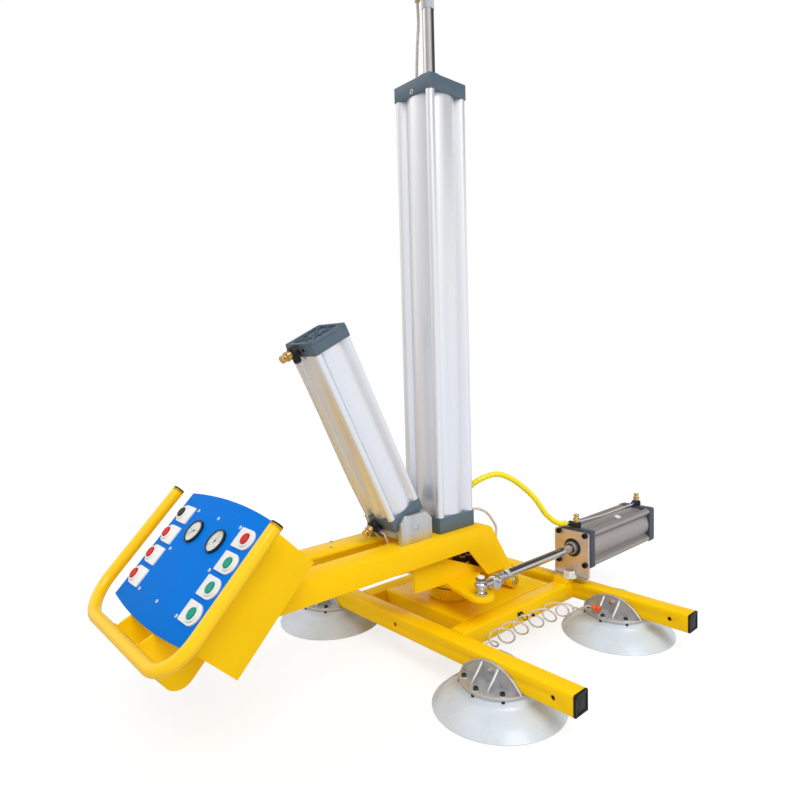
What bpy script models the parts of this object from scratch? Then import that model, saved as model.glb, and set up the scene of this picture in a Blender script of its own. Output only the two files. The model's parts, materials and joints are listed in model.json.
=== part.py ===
"""Pneumatic vacuum lifter: a hoist cylinder carries an arm with a control box at one end and,
under it, a tilting and turning frame with four suction pads.

Metres, +Z up. +Y points along the arm, away from the operator, and +X is to the operator's right.
Each piece is laid out from the hoist cylinder's axis, at the height of the pad lips. At the end
the whole assembly moves along Y, so that the origin lies under the middle of its outline.
"""
from math import asin, cos, pi, radians, sin, sqrt, tan

import bmesh
import bpy
from mathutils import Matrix, Vector

# Clearances
GAP = 0.0003
SEAM = 0.00003
CUT_PAST = 0.1
BEVEL_STEPS = 2
BORE_SIDES = 20
WELD_DISTANCE = 1e-6
PATH_STEPS = 24

# Pad frame
TUBE = 0.050
TUBE_WALL = 0.004
TUBE_CORNER = 0.005
FRAME_TOP = 0.117
BEAM_HALF_LENGTH = 0.552
BEAM_FRONT_Y = -0.183
BEAM_REAR_Y = 0.361
CROSS_X = 0.157
INNER_TUBE_OFFSET = 0.105
TURNTABLE_PLATE = 0.010
END_CAP_PLATE = 0.004
END_CAP_PLUG = 0.018
BEAM_HOLE_RADIUS = 0.006
BEAM_HOLE_INSET = 0.049
BEAM_HOLE_X = BEAM_HALF_LENGTH - BEAM_HOLE_INSET

# Suction pads
PAD_INSET = 0.214
PAD_X = BEAM_HALF_LENGTH - PAD_INSET
LIP_RADIUS = 0.158
LIP_WIDTH = 0.006
LIP_EDGE = 0.002
SHOULDER_RADIUS = 0.108
SHOULDER_HEIGHT = 0.036
CUP_WALL = 0.006
CUP_NECK_RADIUS = 0.090
CUP_NECK_FLARE = 0.008
CUP_SHOULDER_ROUND = 0.004
CUP_SHOULDER_STEP = 0.003
SKIRT_SHARE = 0.58
SKIRT_BULGE = 0.004
MOUNT_RADIUS = 0.094
MOUNT_FLANGE = 0.009
MOUNT_CHEEK = 0.005
MOUNT_CHEEK_HEIGHT = 0.047
MOUNT_RIB_X = 0.024
MOUNT_RIB = 0.006
MOUNT_RIB_FOOT_SHARE = 0.72
MOUNT_RIB_RISE_SHARE = 0.80
MOUNT_PIN_RADIUS = 0.0058
MOUNT_PIN_OVERHANG = 0.006
MOUNT_SCREW_CIRCLE = 0.081
MOUNT_SCREW_HEAD = 0.0055
MOUNT_SCREW_HEIGHT = 0.005

# Turntable
TURN_Y = 0.040
RING_RADIUS = 0.065
RING_BORE = 0.030
RING_LOWER_HEIGHT = 0.034
SPIGOT_RADIUS = 0.040
SPIGOT_HEIGHT = 0.022
SPIGOT_CLEARANCE = 0.0006
SPIGOT_END_CLEARANCE = 0.002
RING_RIM = 0.010
RING_GROOVE = 0.004
RING_SLOPE = 0.003

# Tilt bracket
PLATE_BOTTOM = 0.185
PLATE_THICKNESS = 0.010
PLATE_FRONT_Y = -0.060
PLATE_REAR_Y = 0.124
PLATE_WINDOW_HALF = 0.030
PLATE_WINDOW_END = 0.012
CHEEK_OUTER_X = 0.074
CHEEK = 0.010
CHEEK_FRONT_Y = -0.172
CHEEK_TOP = 0.298
CHEEK_TOP_REAR_Y = -0.146
HINGE_Y = 0.196
HINGE_Z = 0.140
HINGE_TUBE_RADIUS = 0.021
HINGE_PIN_RADIUS = 0.0125
HINGE_PIN_OVERHANG = 0.003
CHEEK_INSET = 0.004
LEVER_PIN_X = 0.200
LEVER_PIN_Y = -0.056
LEVER_TIP_RADIUS = 0.034
LEVER_ROOT_REAR_Y = 0.075

# Arm
ARM_HALF = 0.103
ARM_SHEET = 0.006
ARM_TOP = 0.330
ARM_BOTTOM = 0.274
ARM_NOTCH_Y = 0.009
LEG_FRONT_Y = 0.087
LEG_REAR_Y = 0.191
LEG_BOTTOM = 0.186
LEG_LEAN = radians(31.8)
ARM_TURN = 0.030
LUG_STEP = 0.003
LUG_ROOT = 0.020
LEG_MOUTH = 0.010
BOSS_STEP = 0.0012
ARM_SLOT_HALF = 0.026
ARM_SLOT_REAR_Y = -0.090
BOSS_END_X = 0.115
BOSS_START_X = 0.0875

# Hoist cylinder
HOIST_CAP = 0.070
HOIST_FOOT_HEIGHT = 0.0434
HOIST_CAP_HEIGHT = 0.040
HOIST_BARREL_LENGTH = 1.140
HOIST_BORE = 0.0625
HOIST_SKIN = 0.0660
HOIST_LOBE = 0.0120
HOIST_ROD = 0.016
HOIST_COLLAR_RADIUS = 0.033
HOIST_COLLAR_HEIGHT = 0.012
HOIST_ROD_REACH = 0.230
PISTON_HEIGHT = 0.030
HEAD_WIDTH = 0.044
HEAD_HEIGHT = 0.078
HEAD_BORE = 0.0125
HEAD_SOCKET_SHARE = 0.35
POCKET_RADIUS = 0.0085
POCKET_DEPTH = 0.010
CAP_SPIGOT = 0.008
CAP_ROOT = 0.004
PISTON_REST = 0.012
ROD_CHAMFER = 0.003

# Caps of all three cylinders
CAP_CORNER = 0.007

# The two smaller cylinders
CAP = 0.056
CAP_DEPTH = 0.034
BORE = 0.050
SKIN = 0.0530
LOBE = 0.0098
ROD = 0.0125
PISTON_DEPTH = 0.022
PISTON_END = 0.004
RECESS_DEPTH = 0.006
RECESS_WALL = 0.009
RECESS_CORNER = 0.011
RECESS_RIB = 0.0035

# Flow controls: radius, start and end along the screw's axis, and sides of each step
FLOW_STEPS = (
    (0.0095, -0.003, 0.006, 6), (0.0100, 0.005, 0.019, 12), (0.0055, 0.018, 0.028, 8),
    (0.0040, 0.027, 0.036, 8))
FLOW_ARM_OUT = 0.0115
FLOW_ARM_RADIUS = 0.0070
FLOW_ARM_LENGTH = 0.026

# Tilt cylinder
TRUNNION_Y = -0.160
TRUNNION_Z = 0.372
TILT_LEAN = radians(26.1)
TILT_BARREL_LENGTH = 0.478
TILT_PIN_REACH = 0.145
TILT_EYE_RADIUS = 0.017
TILT_EYE_HALF_WIDTH = 0.016
TILT_EYE_NECK = 0.008
TILT_SHANK_LENGTH = 0.020
TILT_SHANK_STEP = 0.001
TILT_PIN_RADIUS = 0.007
TRUNNION_TO_CAP = 0.018
TRUNNION_BLOCK_DEPTH = 0.035
TRUNNION_BLOCK_HALF = 0.046
TRUNNION_PIN_RADIUS = 0.010
TRUNNION_PIN_INSET = 0.001
TRUNNION_BLOCK_CORNER = 0.004
TILT_PORT_X = -0.012
EAR_THICKNESS = 0.014
EAR_FRONT_Y = -0.212
EAR_REAR_Y = -0.102
EAR_HEIGHT = 0.075
EAR_CHAMFER = 0.020

# Turning cylinder
SLEW_AXIS_Z = 0.221
SLEW_BOLT_Y = 0.353
SLEW_FLANGE_Y = 0.371
SLEW_FLANGE = 0.009
SLEW_FLANGE_HALF = 0.061
SLEW_FOOT = 0.008
SLEW_FOOT_REACH = 0.036
SLEW_CAP_DEPTH = 0.026
SLEW_BARREL_LENGTH = 0.3464
SLEW_BOLT_HEAD = 0.012
SLEW_BOLT_HEIGHT = 0.013
SLEW_WASHER_RADIUS = 0.0144
SLEW_WASHER = 0.003
SLEW_FLANGE_TRIM = 0.004
SLEW_HOLE_CLEARANCE = 0.006
SLEW_FOOT_CORNER = 0.003
SLEW_SCREW_INSET = 0.016
SLEW_SCREW_HEAD = 0.0065
SLEW_SCREW_HEIGHT = 0.008
SLEW_ROOT = 0.004
SLEW_PISTON_REST = 0.006
SLEW_COLLAR_RADIUS = 0.019
SLEW_COLLAR_REACH = 0.014

# Lever pin stack
LEVER_PIN_FLANGE = 0.019
LEVER_PIN_FLANGE_HEIGHT = 0.006
LEVER_PIN_SHOULDER = 0.014
LEVER_PIN_CONE = 0.003
LEVER_NUT_FOOT_RADIUS = 0.017
LEVER_NUT = ((0.018, 0.004), (0.014, 0.007), (0.013, 0.014), (0.011, 0.016))
LEVER_PIN_RADIUS = 0.009
LEVER_EYE_RADIUS = 0.018
LEVER_EYE_HEIGHT = 0.014
LEVER_LINK_REACH = 0.096
LEVER_LINK_THICKNESS = 0.009
LINK_HALF_WIDTH = 0.0135
LINK_START = 0.010
LINK_END = LEVER_LINK_REACH - 0.020
LINK_CORNER = 0.002
CLEVIS_HALF = 0.011
CLEVIS_START = 0.045
CROSS_BOLT_HEAD = 0.0065
CROSS_BOLT_REACH = 0.017
CROSS_BOLT_Z = 0.058

# Control box, on a plane that leans back from the operator
PANEL_TOP_Y = -0.648
PANEL_TOP_Z = 0.507
PANEL_SLOPE = radians(45.3)
PANEL_LENGTH = 0.2687
PANEL_HALF = 0.183
BOX_OVERHANG = 0.003
PANEL_CROWN = 0.012
PANEL_SHEET = 0.003
BOX_HALF = PANEL_HALF + BOX_OVERHANG
BOX_SHEET = 0.003
BOX_DEPTH = 0.136
BOX_TOP_S = 0.010
BOX_BOTTOM_S = 0.266
HANDLE_RADIUS = 0.0135
HANDLE_WALL = 0.002
HANDLE_H = 0.0143
HANDLE_OUTSET = 0.044
HANDLE_X = BOX_HALF + HANDLE_OUTSET
HANDLE_TOP_S = 0.010
HANDLE_BAR_S = 0.323
HANDLE_BEND = 0.080
GUSSET_X = 0.062
GUSSET_SHEET = 0.005
GUSSET_END_S = 0.350
GUSSET_BACK_H = -0.135
GUSSET_FRONT_H = -0.010
GUSSET_CORNER = 0.035
GUSSET_LIP_H = 0.006
GUSSET_TIP = 0.006
HANDLE_OPEN_DEPTH = 0.12

# Buttons and gauges on the panel
BUTTON_INSET = 0.030
BUTTON_X = PANEL_HALF - BUTTON_INSET
BUTTON_FIRST_S = 0.0530
BUTTON_PITCH = 0.0535
BUTTON_RADIUS = 0.0117
BUTTON_COLLAR = 0.0165
BUTTON_COLLAR_HEIGHT = 0.0085
BUTTON_PROUD = 0.0025
BUTTON_DEPTH = 0.010
BUTTON_ROUND = 0.0012
BUTTON_DISH = 0.0004
BEZEL_INNER_REACH = 0.0405
BEZEL_INNER_X = BUTTON_X - BEZEL_INNER_REACH
BEZEL_HALF_HEIGHT = 0.0215
BEZEL_THICKNESS = 0.004
GAUGE_X = 0.053
GAUGE_S = 0.0795
GAUGE_RADIUS = 0.027
GAUGE_BODY_RADIUS = 0.021
GAUGE_FRONT = 0.0065
GAUGE_DEPTH = 0.028
GAUGE_RIM = 0.003
GAUGE_ROUND = 0.001
GAUGE_DIAL_DEPTH = 0.003

# Hoses: radii, and the distance between the points along each
WRAP_RADIUS = 0.0085
HOSE_RADIUS = 0.004
COIL_RADIUS = 0.020
WRAP_SPACING = 0.034
DRAIN_SPACING = 0.020
FEED_SPACING = 0.025
COIL_SPACING = 0.045

YELLOW = (0.98, 0.60, 0.005)
BLUE = (0.0, 0.18, 0.70)
SLATE = (0.16, 0.20, 0.27)
SILVER = (0.72, 0.73, 0.74)
STEEL = (0.55, 0.56, 0.58)
CAST = (0.62, 0.63, 0.64)
BRONZE = (0.66, 0.48, 0.32)
BLACK = (0.02, 0.02, 0.02)
PAD_GREY = (0.60, 0.64, 0.70)
RED = (0.75, 0.02, 0.02)
GREEN = (0.0, 0.45, 0.30)
CLEAR = (0.75, 0.72, 0.66)
WRAP_YELLOW = (0.95, 0.85, 0.02)

# Derived places
TUBE_BOTTOM = FRAME_TOP - TUBE
BEAM_CENTRE_Z = FRAME_TOP - TUBE / 2
PAD_FRONT_Y = BEAM_FRONT_Y + TUBE / 2
PAD_REAR_Y = BEAM_REAR_Y + TUBE / 2
PLATE_TOP = PLATE_BOTTOM + PLATE_THICKNESS
HOIST_FOOT = ARM_TOP + GAP
HOIST_BARREL_FOOT = HOIST_FOOT + HOIST_FOOT_HEIGHT + GAP
HOIST_BARREL_TOP = HOIST_BARREL_FOOT + HOIST_BARREL_LENGTH
HOIST_TOP = HOIST_BARREL_TOP + GAP + HOIST_CAP_HEIGHT
EAR_INNER_X = CAP + 4 * GAP

# Directions on the panel: s runs down its slope, h stands out of it
SLOPE_S = Vector((0, -cos(PANEL_SLOPE), -sin(PANEL_SLOPE)))
SLOPE_H = Vector((0, -sin(PANEL_SLOPE), cos(PANEL_SLOPE)))
PANEL_TOP = Vector((0, PANEL_TOP_Y, PANEL_TOP_Z))

SIDE_VIEW = Matrix(((0, 0, 1), (1, 0, 0), (0, 1, 0))).to_4x4()


def clear_scene():
    for obj in list(bpy.data.objects):
        bpy.data.objects.remove(obj, do_unlink=True)


def make_collection(name):
    collection = bpy.data.collections.new(name)
    bpy.context.scene.collection.children.link(collection)
    return collection


def material(name, colour, roughness, metallic=0.0):
    made = bpy.data.materials.new(name)
    made.use_nodes = True
    shader = made.node_tree.nodes["Principled BSDF"]
    shader.inputs["Base Color"].default_value = (*colour, 1)
    shader.inputs["Roughness"].default_value = roughness
    shader.inputs["Metallic"].default_value = metallic
    return made


def axis_empty(name, location, rotation=(0, 0, 0), parent=None):
    empty = bpy.data.objects.new(name, None)
    empty.empty_display_size = 0.05
    PARTS.objects.link(empty)
    empty.matrix_world = Matrix.LocRotScale(Vector(location), Matrix.Identity(3), None)
    empty.rotation_euler = rotation
    if parent:
        bpy.context.view_layer.update()
        world = empty.matrix_world.copy()
        empty.parent = parent
        empty.matrix_parent_inverse = parent.matrix_world.inverted()
        empty.matrix_world = world
    bpy.context.view_layer.update()
    return empty


def add_part(name, mesh, look, place=None, parent=None):
    """Links a mesh as one sub-part with its own material."""
    part = bpy.data.objects.new(name, mesh)
    PARTS.objects.link(part)
    colour, roughness, metallic = look
    mesh.materials.append(material(name, colour, roughness, metallic))
    if parent:
        part.parent = parent
        part.matrix_parent_inverse = parent.matrix_world.inverted()
    part.matrix_world = place or Matrix.Identity(4)
    return part


def add_tool(target, mesh, operation, place=None):
    """Cuts a shape from a part, or joins one to it, with a Boolean modifier."""
    tool = bpy.data.objects.new(target.name + "_" + operation.lower(), mesh)
    CUTTERS.objects.link(tool)
    tool.matrix_world = place or Matrix.Identity(4)
    tool.hide_render = True
    tool.display_type = "WIRE"
    modifier = target.modifiers.new(operation.title(), "BOOLEAN")
    modifier.operation = operation
    modifier.object = tool
    return modifier


def cut(target, mesh, place=None):
    return add_tool(target, mesh, "DIFFERENCE", place)


def join(target, mesh, place=None):
    return add_tool(target, mesh, "UNION", place)


def smooth_edges(part, angle=40):
    part.data.shade_smooth()
    part.data.set_sharp_from_angle(angle=radians(angle))


def block_mesh(low, high, bevel=0.0, steps=BEVEL_STEPS, edges="all"):
    """A box between two corners; edges can be "all" or the axis that rounded edges run along."""
    mesh = bpy.data.meshes.new("block")
    bm = bmesh.new()
    bmesh.ops.create_cube(bm, size=1)
    low, high = Vector(low), Vector(high)
    for vertex in bm.verts:
        for i in range(3):
            vertex.co[i] = low[i] if vertex.co[i] < 0 else high[i]
    if bevel:
        chosen = []
        for edge in bm.edges:
            along = edge.verts[1].co - edge.verts[0].co
            axis = "xyz"[max(range(3), key=lambda i: abs(along[i]))]
            if edges == "all" or axis == edges:
                chosen.append(edge)
        bmesh.ops.bevel(bm, geom=chosen, offset=bevel, segments=steps, profile=0.5, affect="EDGES")
    bm.to_mesh(mesh)
    bm.free()
    return mesh


def rod_mesh(radius, start, end, sides=24, top_radius=None):
    """A round bar from one point to another."""
    mesh = bpy.data.meshes.new("rod")
    start, end = Vector(start), Vector(end)
    along = end - start
    turn = Vector((0, 0, 1)).rotation_difference(along).to_matrix().to_4x4()
    place = Matrix.Translation((start + end) / 2) @ turn
    bm = bmesh.new()
    bmesh.ops.create_cone(
        bm, cap_ends=True, segments=sides, radius1=radius,
        radius2=radius if top_radius is None else top_radius, depth=along.length, matrix=place)
    bm.to_mesh(mesh)
    bm.free()
    return mesh


def arc(centre, radius, start, end, steps):
    """Points on an arc; angles in degrees."""
    points = []
    for i in range(steps + 1):
        angle = radians(start + (end - start) * i / steps)
        points.append((centre[0] + radius * cos(angle), centre[1] + radius * sin(angle)))
    return points


def circle(centre, radius, steps=24):
    return arc(centre, radius, 0, 360, steps)[:-1]


def plate_mesh(outlines, low, high):
    """A flat sheet from closed outlines, the first outside and the others holes in it."""
    curve = bpy.data.curves.new("outline", "CURVE")
    curve.dimensions = "2D"
    curve.fill_mode = "BOTH"
    curve.extrude = (high - low) / 2
    curve.render_resolution_u = 0
    for outline in outlines:
        spline = curve.splines.new("POLY")
        spline.points.add(len(outline) - 1)
        for point, (u, v) in zip(spline.points, outline):
            point.co = (u, v, 0, 1)
        spline.use_cyclic_u = True
    guide = bpy.data.objects.new("outline", curve)
    bpy.context.scene.collection.objects.link(guide)
    mesh = bpy.data.meshes.new_from_object(guide.evaluated_get(bpy.context.evaluated_depsgraph_get()))
    bpy.data.objects.remove(guide)
    bpy.data.curves.remove(curve)
    bm = bmesh.new()
    bm.from_mesh(mesh)
    bmesh.ops.remove_doubles(bm, verts=bm.verts, dist=WELD_DISTANCE)
    bmesh.ops.translate(bm, verts=bm.verts, vec=(0, 0, (high + low) / 2))
    bmesh.ops.recalc_face_normals(bm, faces=bm.faces)
    bm.to_mesh(mesh)
    bm.free()
    return mesh


def side_plate(outlines, low_x, high_x):
    """A sheet drawn in side view, as (y, z), between two x values."""
    mesh = plate_mesh(outlines, low_x, high_x)
    mesh.transform(SIDE_VIEW)
    return mesh


def turned_part(name, profile, look, place=None, parent=None, steps=32):
    """A turned piece: (radius, height) points around a closed profile, spun about local Z."""
    area = 0
    count = len(profile)
    for i in range(count):
        (r0, z0), (r1, z1) = profile[i], profile[(i + 1) % count]
        area += r0 * z1 - r1 * z0
    points = list(profile) if area < 0 else list(reversed(profile))
    on_axis = [i for i, (r, z) in enumerate(points) if r == 0]
    closed = not on_axis
    if on_axis:
        while not (points[0][0] == 0 and points[-1][0] == 0):
            points = points[1:] + points[:1]
    mesh = bpy.data.meshes.new(name)
    edges = [(i, i + 1) for i in range(len(points) - 1)]
    if closed:
        edges.append((len(points) - 1, 0))
    mesh.from_pydata([(r, 0, z) for r, z in points], edges, [])
    part = add_part(name, mesh, look, place, parent)
    screw = part.modifiers.new("Turn", "SCREW")
    screw.steps = steps
    screw.render_steps = steps
    screw.use_merge_vertices = True
    screw.merge_threshold = 0.00001
    screw.use_smooth_shade = False
    return part


def tube_mesh(points, radius, resolution=2):
    """A round bar along a list of points."""
    curve = bpy.data.curves.new("run", "CURVE")
    curve.dimensions = "3D"
    curve.bevel_depth = radius
    curve.bevel_resolution = resolution
    curve.use_fill_caps = True
    curve.render_resolution_u = 0
    spline = curve.splines.new("POLY")
    spline.points.add(len(points) - 1)
    for point, place in zip(spline.points, points):
        point.co = (*place, 1)
    guide = bpy.data.objects.new("run", curve)
    bpy.context.scene.collection.objects.link(guide)
    mesh = bpy.data.meshes.new_from_object(guide.evaluated_get(bpy.context.evaluated_depsgraph_get()))
    bpy.data.objects.remove(guide)
    bpy.data.curves.remove(curve)
    bm = bmesh.new()
    bm.from_mesh(mesh)
    bmesh.ops.remove_doubles(bm, verts=bm.verts, dist=WELD_DISTANCE)
    bmesh.ops.recalc_face_normals(bm, faces=bm.faces)
    bm.to_mesh(mesh)
    bm.free()
    return mesh


def smooth_path(points, spacing):
    """Points a set distance apart on a Catmull-Rom curve through the given ones."""
    route = [Vector(p) for p in points]
    ends = [2 * route[0] - route[1]] + route + [2 * route[-1] - route[-2]]
    dense = []
    for i in range(1, len(ends) - 2):
        before, start, end, after = ends[i - 1:i + 3]
        for step in range(PATH_STEPS):
            t = step / PATH_STEPS
            dense.append(0.5 * (
                2 * start + (end - before) * t
                + (2 * before - 5 * start + 4 * end - after) * t ** 2
                + (3 * start - before - 3 * end + after) * t ** 3))
    dense.append(route[-1])
    total = sum((b - a).length for a, b in zip(dense, dense[1:]))
    count = max(2, round(total / spacing))
    kept = [dense[0]]
    walked = 0.0
    target = total / count
    for a, b in zip(dense, dense[1:]):
        walked += (b - a).length
        if walked >= target and len(kept) < count:
            kept.append(b)
            target += total / count
    kept.append(dense[-1])
    return kept


def panel_place(x, s, h=0.0):
    """A frame on the panel: local X is world X, local Y runs up the slope, local Z stands out."""
    turn = Matrix((Vector((1, 0, 0)), -SLOPE_S, SLOPE_H)).transposed().to_4x4()
    return Matrix.Translation(PANEL_TOP + Vector((x, 0, 0)) + SLOPE_S * s + SLOPE_H * h) @ turn


def tube_bar(name, low, high, along, parent=None):
    """A square tube between two corners, rounded along its length and open at both ends."""
    low, high = Vector(low), Vector(high)
    part = add_part(name, block_mesh(low, high, TUBE_CORNER, edges=along), PAINT, parent=parent)
    inset = Vector((TUBE_WALL,) * 3)
    inset["xyz".index(along)] = -TUBE_WALL
    cut(part, block_mesh(low + inset, high - inset))
    return part


def build_end_cap(name, side, y):
    """A black cap with a plug that sits in the beam's open end."""
    end = BEAM_HALF_LENGTH + GAP
    outer = end + END_CAP_PLATE
    ends = sorted((side * end, side * outer))
    cap = add_part(
        "end_cap_" + name,
        block_mesh((ends[0], y, TUBE_BOTTOM), (ends[1], y + TUBE, FRAME_TOP), TUBE_CORNER, edges="x"),
        BLACK_LOOK, parent=TURN_AXIS)
    inset = TUBE_WALL + GAP
    plug = sorted((side * (end - END_CAP_PLUG), side * (end + END_CAP_PLATE / 2)))
    join(cap, block_mesh(
        (plug[0], y + inset, TUBE_BOTTOM + inset), (plug[1], y + TUBE - inset, FRAME_TOP - inset)))
    return cap


def build_pad_frame():
    """The welded square-tube frame that carries the pads and turns under the tilt bracket."""
    for name, y in (("pad_beam_front", BEAM_FRONT_Y), ("pad_beam_rear", BEAM_REAR_Y)):
        beam = tube_bar(
            name, (-BEAM_HALF_LENGTH, y, TUBE_BOTTOM), (BEAM_HALF_LENGTH, y + TUBE, FRAME_TOP),
            "x", parent=TURN_AXIS)
        for x in (-BEAM_HOLE_X, 0.0, BEAM_HOLE_X):
            cut(beam, rod_mesh(
                BEAM_HOLE_RADIUS, (x, y - TUBE, BEAM_CENTRE_Z), (x, y + 2 * TUBE, BEAM_CENTRE_Z), 8))
        for x in (-PAD_X, PAD_X):
            cut(beam, rod_mesh(
                MOUNT_PIN_RADIUS + GAP, (x, y - TUBE, BEAM_CENTRE_Z), (x, y + 2 * TUBE, BEAM_CENTRE_Z), 8))
        place = name.split("_")[-1]
        build_end_cap(place + "_right", 1, y)
        build_end_cap(place + "_left", -1, y)
    front = BEAM_FRONT_Y + TUBE + GAP
    rear = BEAM_REAR_Y - GAP
    tube_bar("cross_tube_right", (CROSS_X, front, TUBE_BOTTOM), (CROSS_X + TUBE, rear, FRAME_TOP), "y",
             parent=TURN_AXIS)
    tube_bar("cross_tube_left", (-CROSS_X - TUBE, front, TUBE_BOTTOM), (-CROSS_X, rear, FRAME_TOP), "y",
             parent=TURN_AXIS)
    half = CROSS_X - GAP
    inner_front = BEAM_FRONT_Y + INNER_TUBE_OFFSET
    inner_rear = BEAM_REAR_Y + TUBE - INNER_TUBE_OFFSET - TUBE
    carriage = add_part(
        "turntable_carriage",
        block_mesh((-half, inner_front, TUBE_BOTTOM), (half, inner_front + TUBE, FRAME_TOP),
                   TUBE_CORNER, edges="x"), PAINT, parent=TURN_AXIS)
    join(carriage, block_mesh((-half, inner_rear, TUBE_BOTTOM), (half, inner_rear + TUBE, FRAME_TOP),
                              TUBE_CORNER, edges="x"))
    overlap = TUBE_CORNER + TUBE_WALL
    join(carriage, block_mesh(
        (-half + TUBE_WALL / 2, inner_front + TUBE - overlap, FRAME_TOP - TURNTABLE_PLATE),
        (half - TUBE_WALL / 2, inner_rear + overlap, FRAME_TOP - GAP)))
    for y in (inner_front, inner_rear):
        cut(carriage, block_mesh(
            (-half - TUBE_WALL, y + TUBE_WALL, TUBE_BOTTOM + TUBE_WALL),
            (half + TUBE_WALL, y + TUBE - TUBE_WALL, FRAME_TOP - TUBE_WALL)))
    cut(carriage, rod_mesh(
        RING_BORE, (0, TURN_Y, FRAME_TOP - 2 * TUBE), (0, TURN_Y, FRAME_TOP + TUBE), 24))


def pad_places():
    return (
        ("front_right", PAD_X, PAD_FRONT_Y), ("front_left", -PAD_X, PAD_FRONT_Y),
        ("rear_right", PAD_X, PAD_REAR_Y), ("rear_left", -PAD_X, PAD_REAR_Y))


def build_pad_mount(name, x, y):
    """A cast saddle: a round flange under the beam, and a ribbed half-moon on each side of it."""
    flange_top = TUBE_BOTTOM - GAP
    low = flange_top - MOUNT_FLANGE
    place = Matrix.Translation((x, y, 0))
    mount = add_part(
        "pad_mount_" + name, rod_mesh(MOUNT_RADIUS, (0, 0, low), (0, 0, flange_top), 24),
        CASTING, place, TURN_AXIS)
    inner = TUBE / 2 + GAP
    reach = sqrt(MOUNT_RADIUS ** 2 - (inner + MOUNT_CHEEK) ** 2)
    rise = MOUNT_CHEEK_HEIGHT
    bow_radius = (reach ** 2 + rise ** 2) / (2 * rise)
    half_angle = 90 - asin(reach / bow_radius) * 180 / pi
    bow_centre = (0, flange_top + rise - bow_radius)
    outline = [(reach, low + MOUNT_FLANGE / 2)]
    outline += arc(bow_centre, bow_radius, half_angle, 180 - half_angle, 8)
    outline += [(-reach, low + MOUNT_FLANGE / 2)]
    front_view = Matrix(((1, 0, 0), (0, 0, 1), (0, 1, 0))).to_4x4()
    for side in (-1, 1):
        near, far = inner * side, (inner + MOUNT_CHEEK) * side
        cheek = plate_mesh([outline], min(near, far), max(near, far))
        cheek.transform(front_view)
        cheek.flip_normals()
        join(mount, cheek, place)
        foot = sqrt(MOUNT_RADIUS ** 2 - MOUNT_RIB_X ** 2) * MOUNT_RIB_FOOT_SHARE
        crest = flange_top + rise * MOUNT_RIB_RISE_SHARE
        rib = [
            (far - side * MOUNT_CHEEK / 2, flange_top - MOUNT_FLANGE / 2),
            (side * foot, flange_top - MOUNT_FLANGE / 2),
            (far + side * MOUNT_CHEEK, crest),
            (far - side * MOUNT_CHEEK / 2, crest)]
        for rib_x in (-MOUNT_RIB_X, MOUNT_RIB_X):
            join(mount, side_plate([rib], rib_x - MOUNT_RIB / 2, rib_x + MOUNT_RIB / 2), place)
        for angle in (45, 90, 135):
            centre = Vector((cos(radians(angle)), side * sin(radians(angle)), 0)) * MOUNT_SCREW_CIRCLE
            join(mount, rod_mesh(
                MOUNT_SCREW_HEAD, centre + Vector((0, 0, flange_top - MOUNT_FLANGE / 2)),
                centre + Vector((0, 0, flange_top + MOUNT_SCREW_HEIGHT)), 6), place)
    pin = inner + MOUNT_CHEEK + MOUNT_PIN_OVERHANG
    join(mount, rod_mesh(
        MOUNT_PIN_RADIUS, (0, -pin, BEAM_CENTRE_Z), (0, pin, BEAM_CENTRE_Z), 8), place)
    return mount


def build_suction_cup(name, x, y):
    """A bell of grey rubber: hub, shoulder, and a skirt that ends in a flat lip."""
    top = TUBE_BOTTOM - GAP - MOUNT_FLANGE - GAP
    shoulder_top = SHOULDER_HEIGHT + CUP_SHOULDER_ROUND
    skirt_radius = (SHOULDER_RADIUS + LIP_RADIUS) / 2 + SKIRT_BULGE
    skirt_height = SHOULDER_HEIGHT * SKIRT_SHARE
    profile = [
        (0, top), (CUP_NECK_RADIUS, top),
        (CUP_NECK_RADIUS + CUP_NECK_FLARE, shoulder_top + CUP_SHOULDER_STEP),
        (SHOULDER_RADIUS - CUP_SHOULDER_STEP, shoulder_top), (SHOULDER_RADIUS, SHOULDER_HEIGHT),
        (skirt_radius, skirt_height), (LIP_RADIUS, LIP_EDGE), (LIP_RADIUS, 0),
        (LIP_RADIUS - LIP_WIDTH, 0), (skirt_radius - CUP_WALL, skirt_height - CUP_WALL),
        (CUP_NECK_RADIUS, SHOULDER_HEIGHT - CUP_WALL), (0, SHOULDER_HEIGHT)]
    cup = turned_part("suction_cup_" + name, profile, RUBBER, Matrix.Translation((x, y, 0)),
                      TURN_AXIS, 24)
    smooth_edges(cup)
    return cup


def build_turntable():
    """Two bearing rings: the lower one turns with the frame, the upper one is bolted to the bracket."""
    low = FRAME_TOP + GAP
    middle = low + RING_LOWER_HEIGHT
    high = PLATE_BOTTOM - GAP
    centre = Matrix.Translation((0, TURN_Y, 0))
    lower = [
        (RING_BORE, low), (RING_RADIUS, low), (RING_RADIUS, low + RING_RIM),
        (RING_RADIUS - RING_GROOVE, low + RING_RIM + RING_SLOPE), (RING_RADIUS - RING_GROOVE, middle),
        (SPIGOT_RADIUS, middle), (SPIGOT_RADIUS, middle + SPIGOT_HEIGHT),
        (RING_BORE, middle + SPIGOT_HEIGHT)]
    turned_part("slew_ring_lower", lower, BARE_STEEL, centre, TURN_AXIS, 24)
    step = middle + SPIGOT_HEIGHT + SPIGOT_END_CLEARANCE
    upper = [
        (SPIGOT_RADIUS + SPIGOT_CLEARANCE, middle + GAP), (RING_RADIUS - RING_GROOVE, middle + GAP),
        (RING_RADIUS, middle + RING_GROOVE), (RING_RADIUS, high), (RING_BORE, high),
        (RING_BORE, step), (SPIGOT_RADIUS + SPIGOT_CLEARANCE, step)]
    turned_part("slew_ring_upper", upper, BARE_STEEL, centre, TILT_AXIS, 24)


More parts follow.
